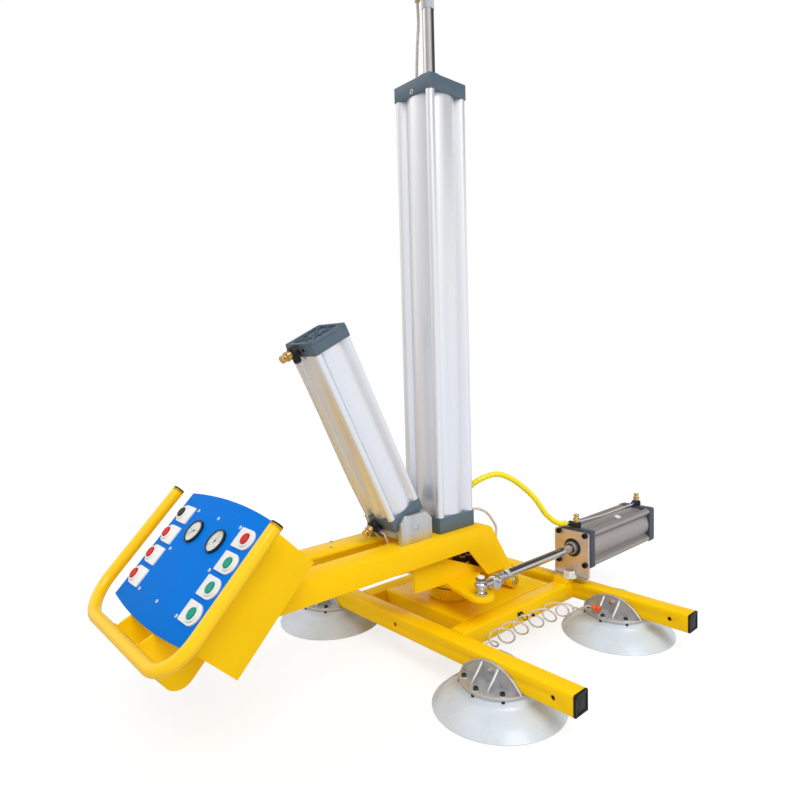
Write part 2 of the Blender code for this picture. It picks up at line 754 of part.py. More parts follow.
def build_tilt_bracket():
    """Two cheeks on a base plate, with the hinge tube at the rear and a lever plate to the right."""
    inner = CHEEK_OUTER_X - CHEEK
    tip = (LEVER_PIN_X, LEVER_PIN_Y)
    front = PLATE_FRONT_Y
    left = -CHEEK_OUTER_X
    window = PLATE_WINDOW_HALF
    outline = [
        (left, front), (-window, front), (-window, PLATE_WINDOW_END), (window, PLATE_WINDOW_END),
        (window, front), (CHEEK_OUTER_X, front)]
    outline += arc(tip, LEVER_TIP_RADIUS, -108, 40, 10)
    outline += [(CHEEK_OUTER_X, LEVER_ROOT_REAR_Y), (CHEEK_OUTER_X, PLATE_REAR_Y), (left, PLATE_REAR_Y)]
    bracket = add_part(
        "tilt_bracket", plate_mesh([outline], PLATE_BOTTOM, PLATE_TOP), PAINT, parent=TILT_AXIS)
    slope_end = (HINGE_Y - CHEEK_INSET, HINGE_Z + HINGE_TUBE_RADIUS - CHEEK_INSET / 2)
    cheek = [
        (CHEEK_FRONT_Y, PLATE_TOP), (front, PLATE_TOP - PLATE_THICKNESS / 2),
        (PLATE_REAR_Y - CHEEK_INSET, PLATE_BOTTOM + CHEEK_INSET / 4),
        (HINGE_Y - HINGE_TUBE_RADIUS + CHEEK_INSET, HINGE_Z - 1.5 * CHEEK_INSET), (HINGE_Y, HINGE_Z),
        slope_end, (CHEEK_TOP_REAR_Y, CHEEK_TOP), (CHEEK_FRONT_Y, CHEEK_TOP)]
    for low_x in (-CHEEK_OUTER_X + SEAM, inner):
        join(bracket, side_plate([cheek], low_x, low_x + CHEEK - SEAM))
    tube_half = BOSS_START_X - GAP
    join(bracket, rod_mesh(
        HINGE_TUBE_RADIUS, (-tube_half, HINGE_Y, HINGE_Z), (tube_half, HINGE_Y, HINGE_Z), 20))
    cut(bracket, rod_mesh(
        HINGE_PIN_RADIUS + GAP, (-ARM_HALF, HINGE_Y, HINGE_Z), (ARM_HALF, HINGE_Y, HINGE_Z), 16))
    return bracket


def build_lever_pin():
    """The upright pin on the lever plate: a collar, the shank that the rod eye turns on, and a nut."""
    foot = PLATE_TOP + GAP
    neck = foot + LEVER_PIN_FLANGE_HEIGHT
    eye_low = SLEW_AXIS_Z - LEVER_EYE_HEIGHT / 2 - GAP
    eye_high = SLEW_AXIS_Z + LEVER_EYE_HEIGHT / 2 + GAP
    profile = [
        (0, foot), (LEVER_PIN_FLANGE, foot), (LEVER_PIN_FLANGE, neck),
        (LEVER_PIN_SHOULDER, neck + LEVER_PIN_CONE), (LEVER_PIN_SHOULDER, eye_low),
        (LEVER_PIN_RADIUS, eye_low), (LEVER_PIN_RADIUS, eye_high), (LEVER_NUT_FOOT_RADIUS, eye_high)]
    profile += [(radius, eye_high + height) for radius, height in LEVER_NUT]
    profile += [(0, eye_high + LEVER_NUT[-1][1])]
    turned_part("lever_pin", profile, ZINC, Matrix.Translation((LEVER_PIN_X, LEVER_PIN_Y, 0)),
                TILT_AXIS, 14)


def arm_outline():
    """The arm in side view, as (y, z): a level beam whose rear end turns down into a leg."""
    back = PANEL_TOP - SLOPE_H * (BOX_DEPTH + PANEL_SHEET + 3 * GAP)
    slope = tan(PANEL_SLOPE)
    bottom_y = back.y + (ARM_BOTTOM - back.z) / slope
    top_y = back.y + (ARM_TOP - back.z) / slope
    lug = HINGE_TUBE_RADIUS
    points = [(bottom_y, ARM_BOTTOM), (ARM_NOTCH_Y, ARM_BOTTOM), (LEG_FRONT_Y, LEG_BOTTOM)]
    points += [(HINGE_Y - lug - LUG_ROOT, LEG_BOTTOM)]
    points += arc((HINGE_Y, HINGE_Z), lug, 195, 400, 9)
    points += [(LEG_REAR_Y, LEG_BOTTOM + LUG_STEP)]
    points += arc(leg_bend(), ARM_TURN, LEG_LEAN * 180 / pi, 90, 5)
    points += [(top_y, ARM_TOP)]
    return points


def leg_bend():
    """Centre of the bend between the top of the arm and the leaning sheet of its leg."""
    rise = ARM_TOP - ARM_TURN - LEG_BOTTOM
    return LEG_REAR_Y - (ARM_TURN + rise * sin(LEG_LEAN)) / cos(LEG_LEAN), ARM_TOP - ARM_TURN


def build_arm():
    """Inverted channel of folded sheet, with a slot for the tilt cylinder and hinge lugs on its leg."""
    outline = arm_outline()
    arm = add_part("arm", side_plate([outline], -ARM_HALF, ARM_HALF), PAINT)
    inside = ARM_HALF - ARM_SHEET
    skin = ARM_SHEET
    foot = (LEG_REAR_Y - skin / cos(LEG_LEAN) + LEG_MOUTH * tan(LEG_LEAN), LEG_BOTTOM - LEG_MOUTH)
    hollow = [
        (outline[0][0] - TUBE, ARM_BOTTOM - TUBE), (HINGE_Y + TUBE, HINGE_Z - TUBE),
        (HINGE_Y + TUBE, foot[1]), foot]
    hollow += arc(leg_bend(), ARM_TURN - skin, LEG_LEAN * 180 / pi, 90, 5)
    hollow += [(outline[-1][0] - TUBE, ARM_TOP - skin)]
    cut(arm, side_plate([hollow], -inside, inside))
    cut(arm, block_mesh(
        (-ARM_SLOT_HALF, outline[0][0] - TUBE, ARM_TOP - 2 * skin),
        (ARM_SLOT_HALF, ARM_SLOT_REAR_Y, ARM_TOP + skin)))
    for side in (-1, 1):
        start, end = side * BOSS_START_X, side * BOSS_END_X
        join(arm, rod_mesh(
            HINGE_TUBE_RADIUS - BOSS_STEP, (start, HINGE_Y, HINGE_Z), (end, HINGE_Y, HINGE_Z), 18))
    cut(arm, rod_mesh(
        HINGE_PIN_RADIUS + GAP, (-2 * ARM_HALF, HINGE_Y, HINGE_Z), (2 * ARM_HALF, HINGE_Y, HINGE_Z), 16))
    smooth_edges(arm, 30)
    reach = BOSS_END_X + HINGE_PIN_OVERHANG
    pin = add_part("hinge_pin", rod_mesh(
        HINGE_PIN_RADIUS, (-reach, HINGE_Y, HINGE_Z), (reach, HINGE_Y, HINGE_Z), 16), ZINC)
    smooth_edges(pin)


def build_trunnion_ears():
    """The two aluminium blocks on the arm that the tilt cylinder's trunnions turn in."""
    low_z = ARM_TOP + GAP
    high_z = low_z + EAR_HEIGHT
    low_y = EAR_FRONT_Y
    high_y = EAR_REAR_Y
    outline = [
        (low_y, low_z), (high_y, low_z), (high_y, high_z - EAR_CHAMFER),
        (high_y - EAR_CHAMFER, high_z), (low_y + EAR_CHAMFER, high_z),
        (low_y, high_z - EAR_CHAMFER)]
    hole = circle((TRUNNION_Y, TRUNNION_Z), TRUNNION_PIN_RADIUS + 2 * GAP, 16)
    for name, x in (("trunnion_ear_right", EAR_INNER_X), ("trunnion_ear_left", -EAR_INNER_X - EAR_THICKNESS)):
        add_part(name, side_plate([outline, hole], x, x + EAR_THICKNESS), ALUMINIUM)


def barrel_outline(skin, corner, lobe):
    """Outside of an extruded cylinder tube: a circle with a round rib at each corner."""
    centre = (corner - lobe) * sqrt(2)
    half = asin(lobe / centre)
    points = []
    for quarter in range(4):
        middle = pi / 4 + quarter * pi / 2
        for i in range(-2, 3):
            angle = half * i / 2 * 0.999
            reach = centre * cos(angle) + sqrt(max(lobe ** 2 - (centre * sin(angle)) ** 2, 0))
            points.append((reach * cos(middle + angle), reach * sin(middle + angle)))
        start = middle + half * 1.02
        end = middle + pi / 2 - half * 1.02
        for i in range(6):
            angle = start + (end - start) * i / 5
            points.append((skin * cos(angle), skin * sin(angle)))
    return points


def build_barrel(name, skin, corner, lobe, bore, low, high, place, parent=None):
    outline = barrel_outline(skin, corner, lobe)
    part = add_part(name, plate_mesh([outline, circle((0, 0), bore, BORE_SIDES)], low, high), ANODISED,
                    place, parent)
    smooth_edges(part)
    return part


def cap_block(half, low, high):
    return block_mesh((-half, -half, low), (half, half, high), CAP_CORNER, edges="z")


def build_hoist_cylinder():
    """The upright cylinder that the lifter hangs from."""
    stand = Matrix.Identity(4)
    build_barrel("hoist_barrel", HOIST_SKIN, HOIST_CAP, HOIST_LOBE, HOIST_BORE,
                 HOIST_BARREL_FOOT, HOIST_BARREL_TOP, stand)
    bottom = add_part("hoist_cap_bottom", cap_block(
        HOIST_CAP, HOIST_FOOT, HOIST_BARREL_FOOT - GAP), SLATE_PAINT, stand)
    join(bottom, rod_mesh(
        HOIST_BORE - 2 * GAP, (0, 0, HOIST_BARREL_FOOT - CAP_ROOT),
        (0, 0, HOIST_BARREL_FOOT + CAP_SPIGOT), BORE_SIDES))
    low = HOIST_BARREL_TOP + GAP
    top = add_part("hoist_cap_top", cap_block(HOIST_CAP, low, HOIST_TOP), SLATE_PAINT, stand)
    join(top, rod_mesh(
        HOIST_COLLAR_RADIUS, (0, 0, HOIST_TOP - CAP_ROOT), (0, 0, HOIST_TOP + HOIST_COLLAR_HEIGHT), 18))
    cut(top, rod_mesh(HOIST_ROD + 2 * GAP, (0, 0, low - CUT_PAST), (0, 0, HOIST_TOP + CUT_PAST), 16))
    for x in (-1, 1):
        for y in (-1, 1):
            centre = Vector((x, y, 0)) * (HOIST_CAP - HOIST_LOBE)
            cut(top, rod_mesh(POCKET_RADIUS, centre + Vector((0, 0, HOIST_TOP - POCKET_DEPTH)),
                              centre + Vector((0, 0, HOIST_TOP + POCKET_DEPTH)), 8))
    piston_low = HOIST_BARREL_FOOT + PISTON_REST
    rod_top = HOIST_TOP + HOIST_ROD_REACH
    profile = [
        (0, piston_low), (HOIST_BORE - GAP, piston_low), (HOIST_BORE - GAP, piston_low + PISTON_HEIGHT),
        (HOIST_ROD, piston_low + PISTON_HEIGHT), (HOIST_ROD, rod_top - ROD_CHAMFER),
        (HOIST_ROD - ROD_CHAMFER, rod_top), (0, rod_top)]
    rod = turned_part("hoist_rod", profile, CHROME, stand, HOIST_AXIS, BORE_SIDES)
    smooth_edges(rod)
    head_low = rod_top - HEAD_HEIGHT * HEAD_SOCKET_SHARE
    half = HEAD_WIDTH / 2
    bore_z = head_low + HEAD_HEIGHT - half
    outline = [(half, head_low)]
    outline += arc((0, bore_z), half, 0, 180, 12)
    outline += [(-half, head_low)]
    head = add_part(
        "hoist_head", side_plate([outline, circle((0, bore_z), HEAD_BORE, 16)], -half, half), ZINC,
        stand, HOIST_AXIS)
    cut(head, rod_mesh(HOIST_ROD + 2 * GAP, (0, 0, head_low - HOIST_ROD), (0, 0, rod_top + GAP), 16))


def build_cap(name, low, high, place, parent, bored, recess_top):
    """An end cap of a smaller cylinder, bored for the rod or with a recessed, ribbed end face."""
    part = add_part(name, cap_block(CAP, low, high), SLATE_PAINT, place, parent)
    if bored:
        cut(part, rod_mesh(ROD + 2 * GAP, (0, 0, low - CUT_PAST), (0, 0, high + CUT_PAST), 16), place)
    if recess_top:
        reach = CAP - RECESS_WALL
        for x in (-1, 1):
            for y in (-1, 1):
                corner = Vector((x * RECESS_RIB, y * RECESS_RIB, high - RECESS_DEPTH))
                far = Vector((x * (reach - RECESS_CORNER), y * reach, high + RECESS_DEPTH))
                side = Vector((x * reach, y * (reach - RECESS_CORNER), high + RECESS_DEPTH))
                for other in (far, side):
                    low_corner = [min(a, b) for a, b in zip(corner, other)]
                    high_corner = [max(a, b) for a, b in zip(corner, other)]
                    cut(part, block_mesh(low_corner, high_corner), place)
    return part


def build_tilt_cylinder():
    """The leaning cylinder: it turns in the ears and pushes the bracket down behind its hinge."""
    place = TRUNNION_AXIS.matrix_world.copy()
    cap_low = TRUNNION_TO_CAP
    cap_high = cap_low + CAP_DEPTH
    barrel_low = cap_high + GAP
    barrel_high = barrel_low + TILT_BARREL_LENGTH
    rear_low = barrel_high + GAP
    rear_high = rear_low + CAP_DEPTH
    build_barrel("tilt_barrel", SKIN, CAP, LOBE, BORE, barrel_low, barrel_high, place, TRUNNION_AXIS)
    front = build_cap("tilt_cap_front", cap_low, cap_high, place, TRUNNION_AXIS, True, False)
    rear = build_cap("tilt_cap_rear", rear_low, rear_high, place, TRUNNION_AXIS, False, True)
    block_high = cap_low - GAP
    block_low = block_high - TRUNNION_BLOCK_DEPTH
    block = add_part(
        "trunnion_block",
        block_mesh((-CAP, -TRUNNION_BLOCK_HALF, block_low), (CAP, TRUNNION_BLOCK_HALF, block_high),
                   TRUNNION_BLOCK_CORNER, edges="x"), ALUMINIUM, place, TRUNNION_AXIS)
    reach = EAR_INNER_X + EAR_THICKNESS - TRUNNION_PIN_INSET
    join(block, rod_mesh(TRUNNION_PIN_RADIUS, (-reach, 0, 0), (reach, 0, 0), 16), place)
    cut(block, rod_mesh(ROD + 2 * GAP, (0, 0, block_low - CUT_PAST), (0, 0, block_high + CUT_PAST), 16), place)
    eye = -TILT_PIN_REACH
    piston_high = rear_low - PISTON_END
    piston_low = piston_high - PISTON_DEPTH
    rod_low = eye + TILT_EYE_RADIUS + TILT_EYE_NECK
    profile = [
        (0, rod_low), (ROD, rod_low), (ROD, piston_low), (BORE - GAP, piston_low),
        (BORE - GAP, piston_high), (0, piston_high)]
    rod = turned_part("tilt_rod", profile, CHROME, place, TRUNNION_AXIS, BORE_SIDES)
    smooth_edges(rod)
    width = TILT_EYE_HALF_WIDTH
    ear = arc((0, eye), TILT_EYE_RADIUS, 160, 380, 10)
    shank = TILT_EYE_RADIUS - TILT_SHANK_STEP
    ear += [(shank, rod_low + TILT_SHANK_LENGTH), (-shank, rod_low + TILT_SHANK_LENGTH)]
    rod_end = add_part(
        "tilt_rod_eye", side_plate([ear], -width, width), ZINC, place, TRUNNION_AXIS)
    cut(rod_end, rod_mesh(ROD + 2 * GAP, (0, 0, rod_low - GAP), (0, 0, rod_low + CUT_PAST), 16), place)
    pin_reach = CHEEK_OUTER_X - CHEEK - GAP
    join(rod_end, rod_mesh(TILT_PIN_RADIUS, (-pin_reach, 0, eye), (pin_reach, 0, eye), 14), place)
    add_flow_control(rear, place, (TILT_PORT_X, -CAP, rear_low + CAP_DEPTH / 2), (0, -1, 0), (0, 0, -1))
    add_flow_control(front, place, (TILT_PORT_X, -CAP, cap_low + CAP_DEPTH / 2), (0, -1, 0), (0.8, 0, -0.6))


def add_flow_control(cap, place, seat, out, arm):
    """A screw-in flow control on a cap: foot, body, adjusting screw, and a push-in arm to one side."""
    seat, out, arm = Vector(seat), Vector(out), Vector(arm)
    for radius, start, end, sides in FLOW_STEPS:
        join(cap, rod_mesh(radius, seat + out * start, seat + out * end, sides), place)
    middle = seat + out * FLOW_ARM_OUT
    join(cap, rod_mesh(FLOW_ARM_RADIUS, middle, middle + arm * FLOW_ARM_LENGTH, 10), place)


def build_slew_cylinder():
    """The level cylinder on the frame, whose rod is held by the lever pin of the bracket."""
    place = SLEW_LINK_AXIS.matrix_world.copy()
    flange = SLEW_FLANGE_Y - LEVER_PIN_Y
    cap_low = flange + SLEW_FLANGE + GAP
    cap_high = cap_low + SLEW_CAP_DEPTH
    barrel_low = cap_high + GAP
    barrel_high = barrel_low + SLEW_BARREL_LENGTH
    rear_low = barrel_high + GAP
    build_barrel("slew_barrel", SKIN, CAP, LOBE, BORE, barrel_low, barrel_high, place, SLEW_LINK_AXIS)
    front = build_cap("slew_cap_front", cap_low, cap_high, place, SLEW_LINK_AXIS, False, False)
    join(front, rod_mesh(
        SLEW_COLLAR_RADIUS, (0, 0, cap_low + SLEW_ROOT), (0, 0, flange - SLEW_COLLAR_REACH), 16), place)
    cut(front, rod_mesh(ROD + 2 * GAP, (0, 0, flange - CUT_PAST), (0, 0, cap_high + CUT_PAST), 16), place)
    rear = build_cap("slew_cap_rear", rear_low, rear_low + CAP_DEPTH, place, SLEW_LINK_AXIS, False, False)

    drop = SLEW_AXIS_Z - FRAME_TOP - GAP
    half = SLEW_FLANGE_HALF
    top = SLEW_FLANGE_TRIM - half
    hole = circle((0, 0), SLEW_COLLAR_RADIUS + SLEW_HOLE_CLEARANCE, 16)
    outline = [(-half, top), (half, top), (half, drop), (-half, drop)]
    upright = plate_mesh([outline, hole], flange, flange + SLEW_FLANGE)
    foot = add_part("slew_foot", upright, BRONZE_LOOK, place, SLEW_LINK_AXIS)
    join(foot, block_mesh(
        (-half, drop - SLEW_FOOT, flange - SLEW_FOOT_REACH), (half, drop, flange + SLEW_FLANGE / 2),
        SLEW_FOOT_CORNER, edges="y"), place)
    bolt = SLEW_BOLT_Y - LEVER_PIN_Y
    seat = drop - SLEW_FOOT
    join(foot, rod_mesh(
        SLEW_WASHER_RADIUS, (0, seat + SLEW_FOOT / 2, bolt), (0, seat - SLEW_WASHER, bolt), 14), place)
    join(foot, rod_mesh(
        SLEW_BOLT_HEAD, (0, seat - SLEW_WASHER * 2 / 3, bolt), (0, seat - SLEW_BOLT_HEIGHT, bolt), 6), place)
    for x in (-1, 1):
        for y in (-1, 1):
            centre = Vector((x, y, 0)) * (half - SLEW_SCREW_INSET)
            join(foot, rod_mesh(
                SLEW_SCREW_HEAD, centre + Vector((0, 0, flange + SLEW_ROOT)),
                centre + Vector((0, 0, flange - SLEW_SCREW_HEIGHT)), 8), place)

    eye_reach = LEVER_LINK_REACH
    piston_low = barrel_low + SLEW_PISTON_REST
    profile = [
        (0, eye_reach + GAP), (ROD - ROD_CHAMFER * 2 / 3, eye_reach + GAP), (ROD, eye_reach + ROD_CHAMFER),
        (ROD, piston_low),
        (BORE - GAP, piston_low), (BORE - GAP, piston_low + PISTON_DEPTH), (0, piston_low + PISTON_DEPTH)]
    rod = turned_part("slew_rod", profile, CHROME, place, SLEW_LINK_AXIS, BORE_SIDES)
    smooth_edges(rod)
    ring = rod_mesh(LEVER_EYE_RADIUS, (0, -LEVER_EYE_HEIGHT / 2, 0), (0, LEVER_EYE_HEIGHT / 2, 0), 16)
    rod_end = add_part("slew_rod_eye", ring, ZINC, place, SLEW_LINK_AXIS)
    web = LEVER_LINK_THICKNESS / 2
    join(rod_end, block_mesh(
        (-LINK_HALF_WIDTH, -web, LINK_START), (LINK_HALF_WIDTH, web, LINK_END), LINK_CORNER, edges="z"), place)
    join(rod_end, block_mesh(
        (-CLEVIS_HALF, -CLEVIS_HALF, CLEVIS_START), (CLEVIS_HALF, CLEVIS_HALF, eye_reach), 2 * LINK_CORNER,
        edges="z"), place)
    join(rod_end, rod_mesh(
        CROSS_BOLT_HEAD, (-CROSS_BOLT_REACH, 0, CROSS_BOLT_Z), (CROSS_BOLT_REACH, 0, CROSS_BOLT_Z), 6), place)
    cut(rod_end, rod_mesh(LEVER_PIN_RADIUS + GAP, (0, -CUT_PAST, 0), (0, CUT_PAST, 0), 14), place)
    add_flow_control(front, place, (0, -CAP, cap_low + SLEW_CAP_DEPTH / 2), (0, -1, 0), (-1, 0, 0))
    add_flow_control(rear, place, (0, -CAP, rear_low + CAP_DEPTH / 2), (0, -1, 0), (0, 0, -1))


def build_control_box():
    """The folded box behind the panel, closed at the back where the arm meets it."""
    origin = panel_place(0, 0)
    front = -PANEL_SHEET - GAP
    back = front - BOX_DEPTH
    box = add_part("control_box", block_mesh(
        (-BOX_HALF, -BOX_BOTTOM_S, back), (BOX_HALF, -BOX_TOP_S, front)), PAINT, origin)
    cut(box, block_mesh(
        (-BOX_HALF + BOX_SHEET, -BOX_BOTTOM_S + BOX_SHEET, back + BOX_SHEET),
        (BOX_HALF - BOX_SHEET, -BOX_TOP_S - BOX_SHEET, front + BOX_SHEET)), origin)
    start = -BOX_BOTTOM_S + BOX_SHEET / 2
    end = -GUSSET_END_S
    outline = [(start, GUSSET_BACK_H)]
    outline += arc((end + GUSSET_CORNER, GUSSET_BACK_H + GUSSET_CORNER), GUSSET_CORNER, 270, 180, 6)
    tip = -HANDLE_BAR_S + HANDLE_RADIUS + GUSSET_TIP
    outline += [(end, GUSSET_LIP_H), (tip, GUSSET_LIP_H), (start, GUSSET_FRONT_H)]
    for side in (-1, 1):
        low_x = side * GUSSET_X - GUSSET_SHEET / 2
        join(box, side_plate([outline], low_x, low_x + GUSSET_SHEET), origin)
    bar = HANDLE_RADIUS + GAP
    cut(box, rod_mesh(
        bar, (-BOX_HALF, -HANDLE_BAR_S, HANDLE_H), (BOX_HALF, -HANDLE_BAR_S, HANDLE_H), 36), origin)


def bezel_outline(side):
    """A D, square towards the middle of the panel and round towards its edge."""
    points = arc((side * BUTTON_X, 0), BEZEL_HALF_HEIGHT, -90, 90, 6) if side > 0 else arc(
        (side * BUTTON_X, 0), BEZEL_HALF_HEIGHT, 90, 270, 6)
    inner = side * BEZEL_INNER_X
    if side > 0:
        return points + [(inner, BEZEL_HALF_HEIGHT), (inner, -BEZEL_HALF_HEIGHT)]
    return points + [(inner, -BEZEL_HALF_HEIGHT), (inner, BEZEL_HALF_HEIGHT)]


def bow_points(low_s, crown, reverse):
    """One bowed end of the panel, from its left corner to its right, or back."""
    radius = (PANEL_HALF ** 2 + crown ** 2) / (2 * crown)
    half = asin(PANEL_HALF / radius) * 180 / pi
    points = arc((0, low_s + crown - radius), radius, 90 + half, 90 - half, 12)
    return points if not reverse else [(u, 2 * low_s - v) for u, v in reversed(points)]


def button_places():
    """Name, side and distance down the panel of each push button."""
    places = []
    for side, word in ((-1, "left"), (1, "right")):
        for i in range(4):
            places.append(("button_%s_%d" % (word, i + 1), side, BUTTON_FIRST_S + i * BUTTON_PITCH))
    return places


def build_panel():
    """The blue face with bowed ends; the button housings are moulded in one with it."""
    origin = panel_place(0, 0)
    outline = bow_points(0, PANEL_CROWN, False) + bow_points(-PANEL_LENGTH, PANEL_CROWN, True)
    panel = add_part("control_panel", plate_mesh([outline], -PANEL_SHEET, 0), BLUE_LOOK, origin)
    for name, side, s in button_places():
        place = panel_place(0, s)
        join(panel, plate_mesh([bezel_outline(side)], -PANEL_SHEET / 2, BEZEL_THICKNESS), place)
        centre = (side * BUTTON_X, 0, 0)
        join(panel, rod_mesh(BUTTON_COLLAR, centre, (side * BUTTON_X, 0, BUTTON_COLLAR_HEIGHT), 12), place)
        cut(panel, rod_mesh(
            BUTTON_RADIUS + GAP, (side * BUTTON_X, 0, -CUT_PAST), (side * BUTTON_X, 0, CUT_PAST), 12), place)
    for side in (-1, 1):
        centre = panel_place(side * GAUGE_X, GAUGE_S)
        cut(panel, rod_mesh(GAUGE_BODY_RADIUS + GAP, (0, 0, -CUT_PAST), (0, 0, CUT_PAST), 16), centre)


def build_buttons():
    """Eight sprung buttons; each one is a cap on a short stem inside its housing."""
    top = BUTTON_COLLAR_HEIGHT + BUTTON_PROUD
    low = top - BUTTON_DEPTH - BUTTON_PROUD
    for name, side, s in button_places():
        profile = [
            (0, low), (BUTTON_RADIUS, low), (BUTTON_RADIUS, top - BUTTON_ROUND),
            (BUTTON_RADIUS - BUTTON_ROUND, top), (0, top - BUTTON_DISH)]
        look = RED_LOOK
        if name == "button_left_1":
            look = BLACK_LOOK
        elif side > 0 and name != "button_right_1":
            look = GREEN_LOOK
        button = turned_part(name, profile, look, panel_place(side * BUTTON_X, s), None, 12)
        smooth_edges(button)


def build_gauges():
    """Two dial gauges: a bezel ring on the panel, a recessed dial, and a body through the hole."""
    low = GAP
    for name, side in (("gauge_left", -1), ("gauge_right", 1)):
        profile = [
            (0, -GAUGE_DEPTH), (GAUGE_BODY_RADIUS, -GAUGE_DEPTH), (GAUGE_BODY_RADIUS, low),
            (GAUGE_RADIUS, low), (GAUGE_RADIUS, GAUGE_FRONT - GAUGE_ROUND),
            (GAUGE_RADIUS - GAUGE_ROUND, GAUGE_FRONT), (GAUGE_RADIUS - GAUGE_RIM, GAUGE_FRONT),
            (GAUGE_RADIUS - GAUGE_RIM - GAUGE_ROUND / 2, GAUGE_FRONT - GAUGE_DIAL_DEPTH),
            (0, GAUGE_FRONT - GAUGE_DIAL_DEPTH)]
        turned_part(name, profile, BLACK_LOOK, panel_place(side * GAUGE_X, GAUGE_S), None, 16)


def build_handlebar():
    """The U of round tube around the box; the gussets hold its lower bar."""
    origin = panel_place(0, 0)
    x = HANDLE_X
    low = -HANDLE_BAR_S
    bend = HANDLE_BEND
    route = [(x, -HANDLE_TOP_S)]
    route += arc((x - bend, low + bend), bend, 0, -90, 6)
    route += arc((-x + bend, low + bend), bend, -90, -180, 6)
    route += [(-x, -HANDLE_TOP_S)]
    bar = add_part("handlebar", tube_mesh([(u, v, HANDLE_H) for u, v in route], HANDLE_RADIUS, 3), PAINT,
                   origin)
    for side in (-1, 1):
        cut(bar, rod_mesh(
            HANDLE_RADIUS - HANDLE_WALL, (side * x, -HANDLE_TOP_S - HANDLE_OPEN_DEPTH, HANDLE_H),
            (side * x, -HANDLE_TOP_S + HANDLE_RADIUS, HANDLE_H), 18), origin)
    smooth_edges(bar)


# Routes of the hoses, each a list of points chosen by hand
WRAP_ROUTE = [
    (0.008, 0.084, 0.3315), (0.010, 0.084, 0.365), (0.022, 0.086, 0.410), (0.050, 0.100, 0.446),
    (0.080, 0.155, 0.465), (0.110, 0.200, 0.445), (0.140, 0.256, 0.390), (0.160, 0.293, 0.332),
    (0.172, 0.335, 0.299), (0.176, 0.372, 0.2915)]
DRAIN_ROUTE = [
    (0.030, 0.0705, 0.361), (0.030, 0.115, 0.361), (0.031, 0.150, 0.350), (0.032, 0.178, 0.331),
    (0.033, 0.209, 0.290), (0.034, 0.2085, 0.262), (0.034, 0.200, 0.238), (0.034, 0.184, 0.222)]
FEED_ROUTE = [
    (-0.050, 0.000, 1.5547), (-0.050, 0.000, 1.580), (-0.046, -0.002, 1.630), (-0.040, -0.003, 1.690),
    (-0.038, 0.000, 1.740), (-0.040, 0.000, 1.800)]
COIL_ROUTE = [
    (0.244, -0.094, 0.085), (0.236, -0.040, 0.078), (0.230, 0.030, 0.072), (0.2272, 0.100, 0.074),
    (0.230, 0.180, 0.070), (0.236, 0.250, 0.068), (0.250, 0.300, 0.066)]


def build_hoses():
    """Plain solids for the hoses; the coiled one is the fat tube that its turns fill."""
    add_part("wrapped_hose", tube_mesh(smooth_path(WRAP_ROUTE, WRAP_SPACING), WRAP_RADIUS, 2), WRAP_LOOK)
    add_part("drain_hose", tube_mesh(smooth_path(DRAIN_ROUTE, DRAIN_SPACING), HOSE_RADIUS, 2), CLEAR_LOOK)
    add_part("feed_hose", tube_mesh(smooth_path(FEED_ROUTE, FEED_SPACING), HOSE_RADIUS, 2), CLEAR_LOOK)
    coil = tube_mesh(smooth_path(COIL_ROUTE, COIL_SPACING), COIL_RADIUS, 2)
    add_part("coil_hose", coil, CLEAR_LOOK, None, TURN_AXIS)


def stand_over_origin():
    """Moves everything along Y, to put the origin under the middle of the assembly's outline."""
    bpy.context.view_layer.update()
    depsgraph = bpy.context.evaluated_depsgraph_get()
    reach = []
    for part in PARTS.objects:
        if part.type == "MESH":
            evaluated = part.evaluated_get(depsgraph)
            reach += [(evaluated.matrix_world @ vertex.co).y for vertex in evaluated.data.vertices]
    shift = Matrix.Translation((0, -(min(reach) + max(reach)) / 2, 0))
    for obj in list(PARTS.objects) + list(CUTTERS.objects):
        if obj.parent is None:
            obj.matrix_world = shift @ obj.matrix_world
    bpy.context.view_layer.update()


# Each look: colour, roughness and metallic value
PAINT = (YELLOW, 0.35, 0.0)
BLUE_LOOK = (BLUE, 0.45, 0.0)
SLATE_PAINT = (SLATE, 0.45, 0.2)
ANODISED = (SILVER, 0.35, 0.8)
ALUMINIUM = (CAST, 0.40, 0.9)
CASTING = (CAST, 0.50, 0.7)
CHROME = (STEEL, 0.10, 1.0)
ZINC = (STEEL, 0.25, 1.0)
BARE_STEEL = (STEEL, 0.45, 0.9)
BRONZE_LOOK = (BRONZE, 0.45, 0.6)
RUBBER = (PAD_GREY, 0.45, 0.0)
BLACK_LOOK = (BLACK, 0.40, 0.0)
RED_LOOK = (RED, 0.35, 0.0)
GREEN_LOOK = (GREEN, 0.35, 0.0)
CLEAR_LOOK = (CLEAR, 0.20, 0.0)
WRAP_LOOK = (WRAP_YELLOW, 0.40, 0.0)

clear_scene()
PARTS = make_collection("vacuum_lifter")
CUTTERS = make_collection("cutters")
HOIST_AXIS = axis_empty("hoist_slide", (0, 0, HOIST_TOP))
TILT_AXIS = axis_empty("tilt_hinge", (0, HINGE_Y, HINGE_Z))
TURN_AXIS = axis_empty("turn_axis", (0, TURN_Y, FRAME_TOP), parent=TILT_AXIS)
TRUNNION_AXIS = axis_empty("trunnion_axis", (0, TRUNNION_Y, TRUNNION_Z), (TILT_LEAN, 0, 0))
SLEW_LINK_AXIS = axis_empty(
    "slew_link_axis", (LEVER_PIN_X, LEVER_PIN_Y, SLEW_AXIS_Z), (-pi / 2, 0, 0), TILT_AXIS)

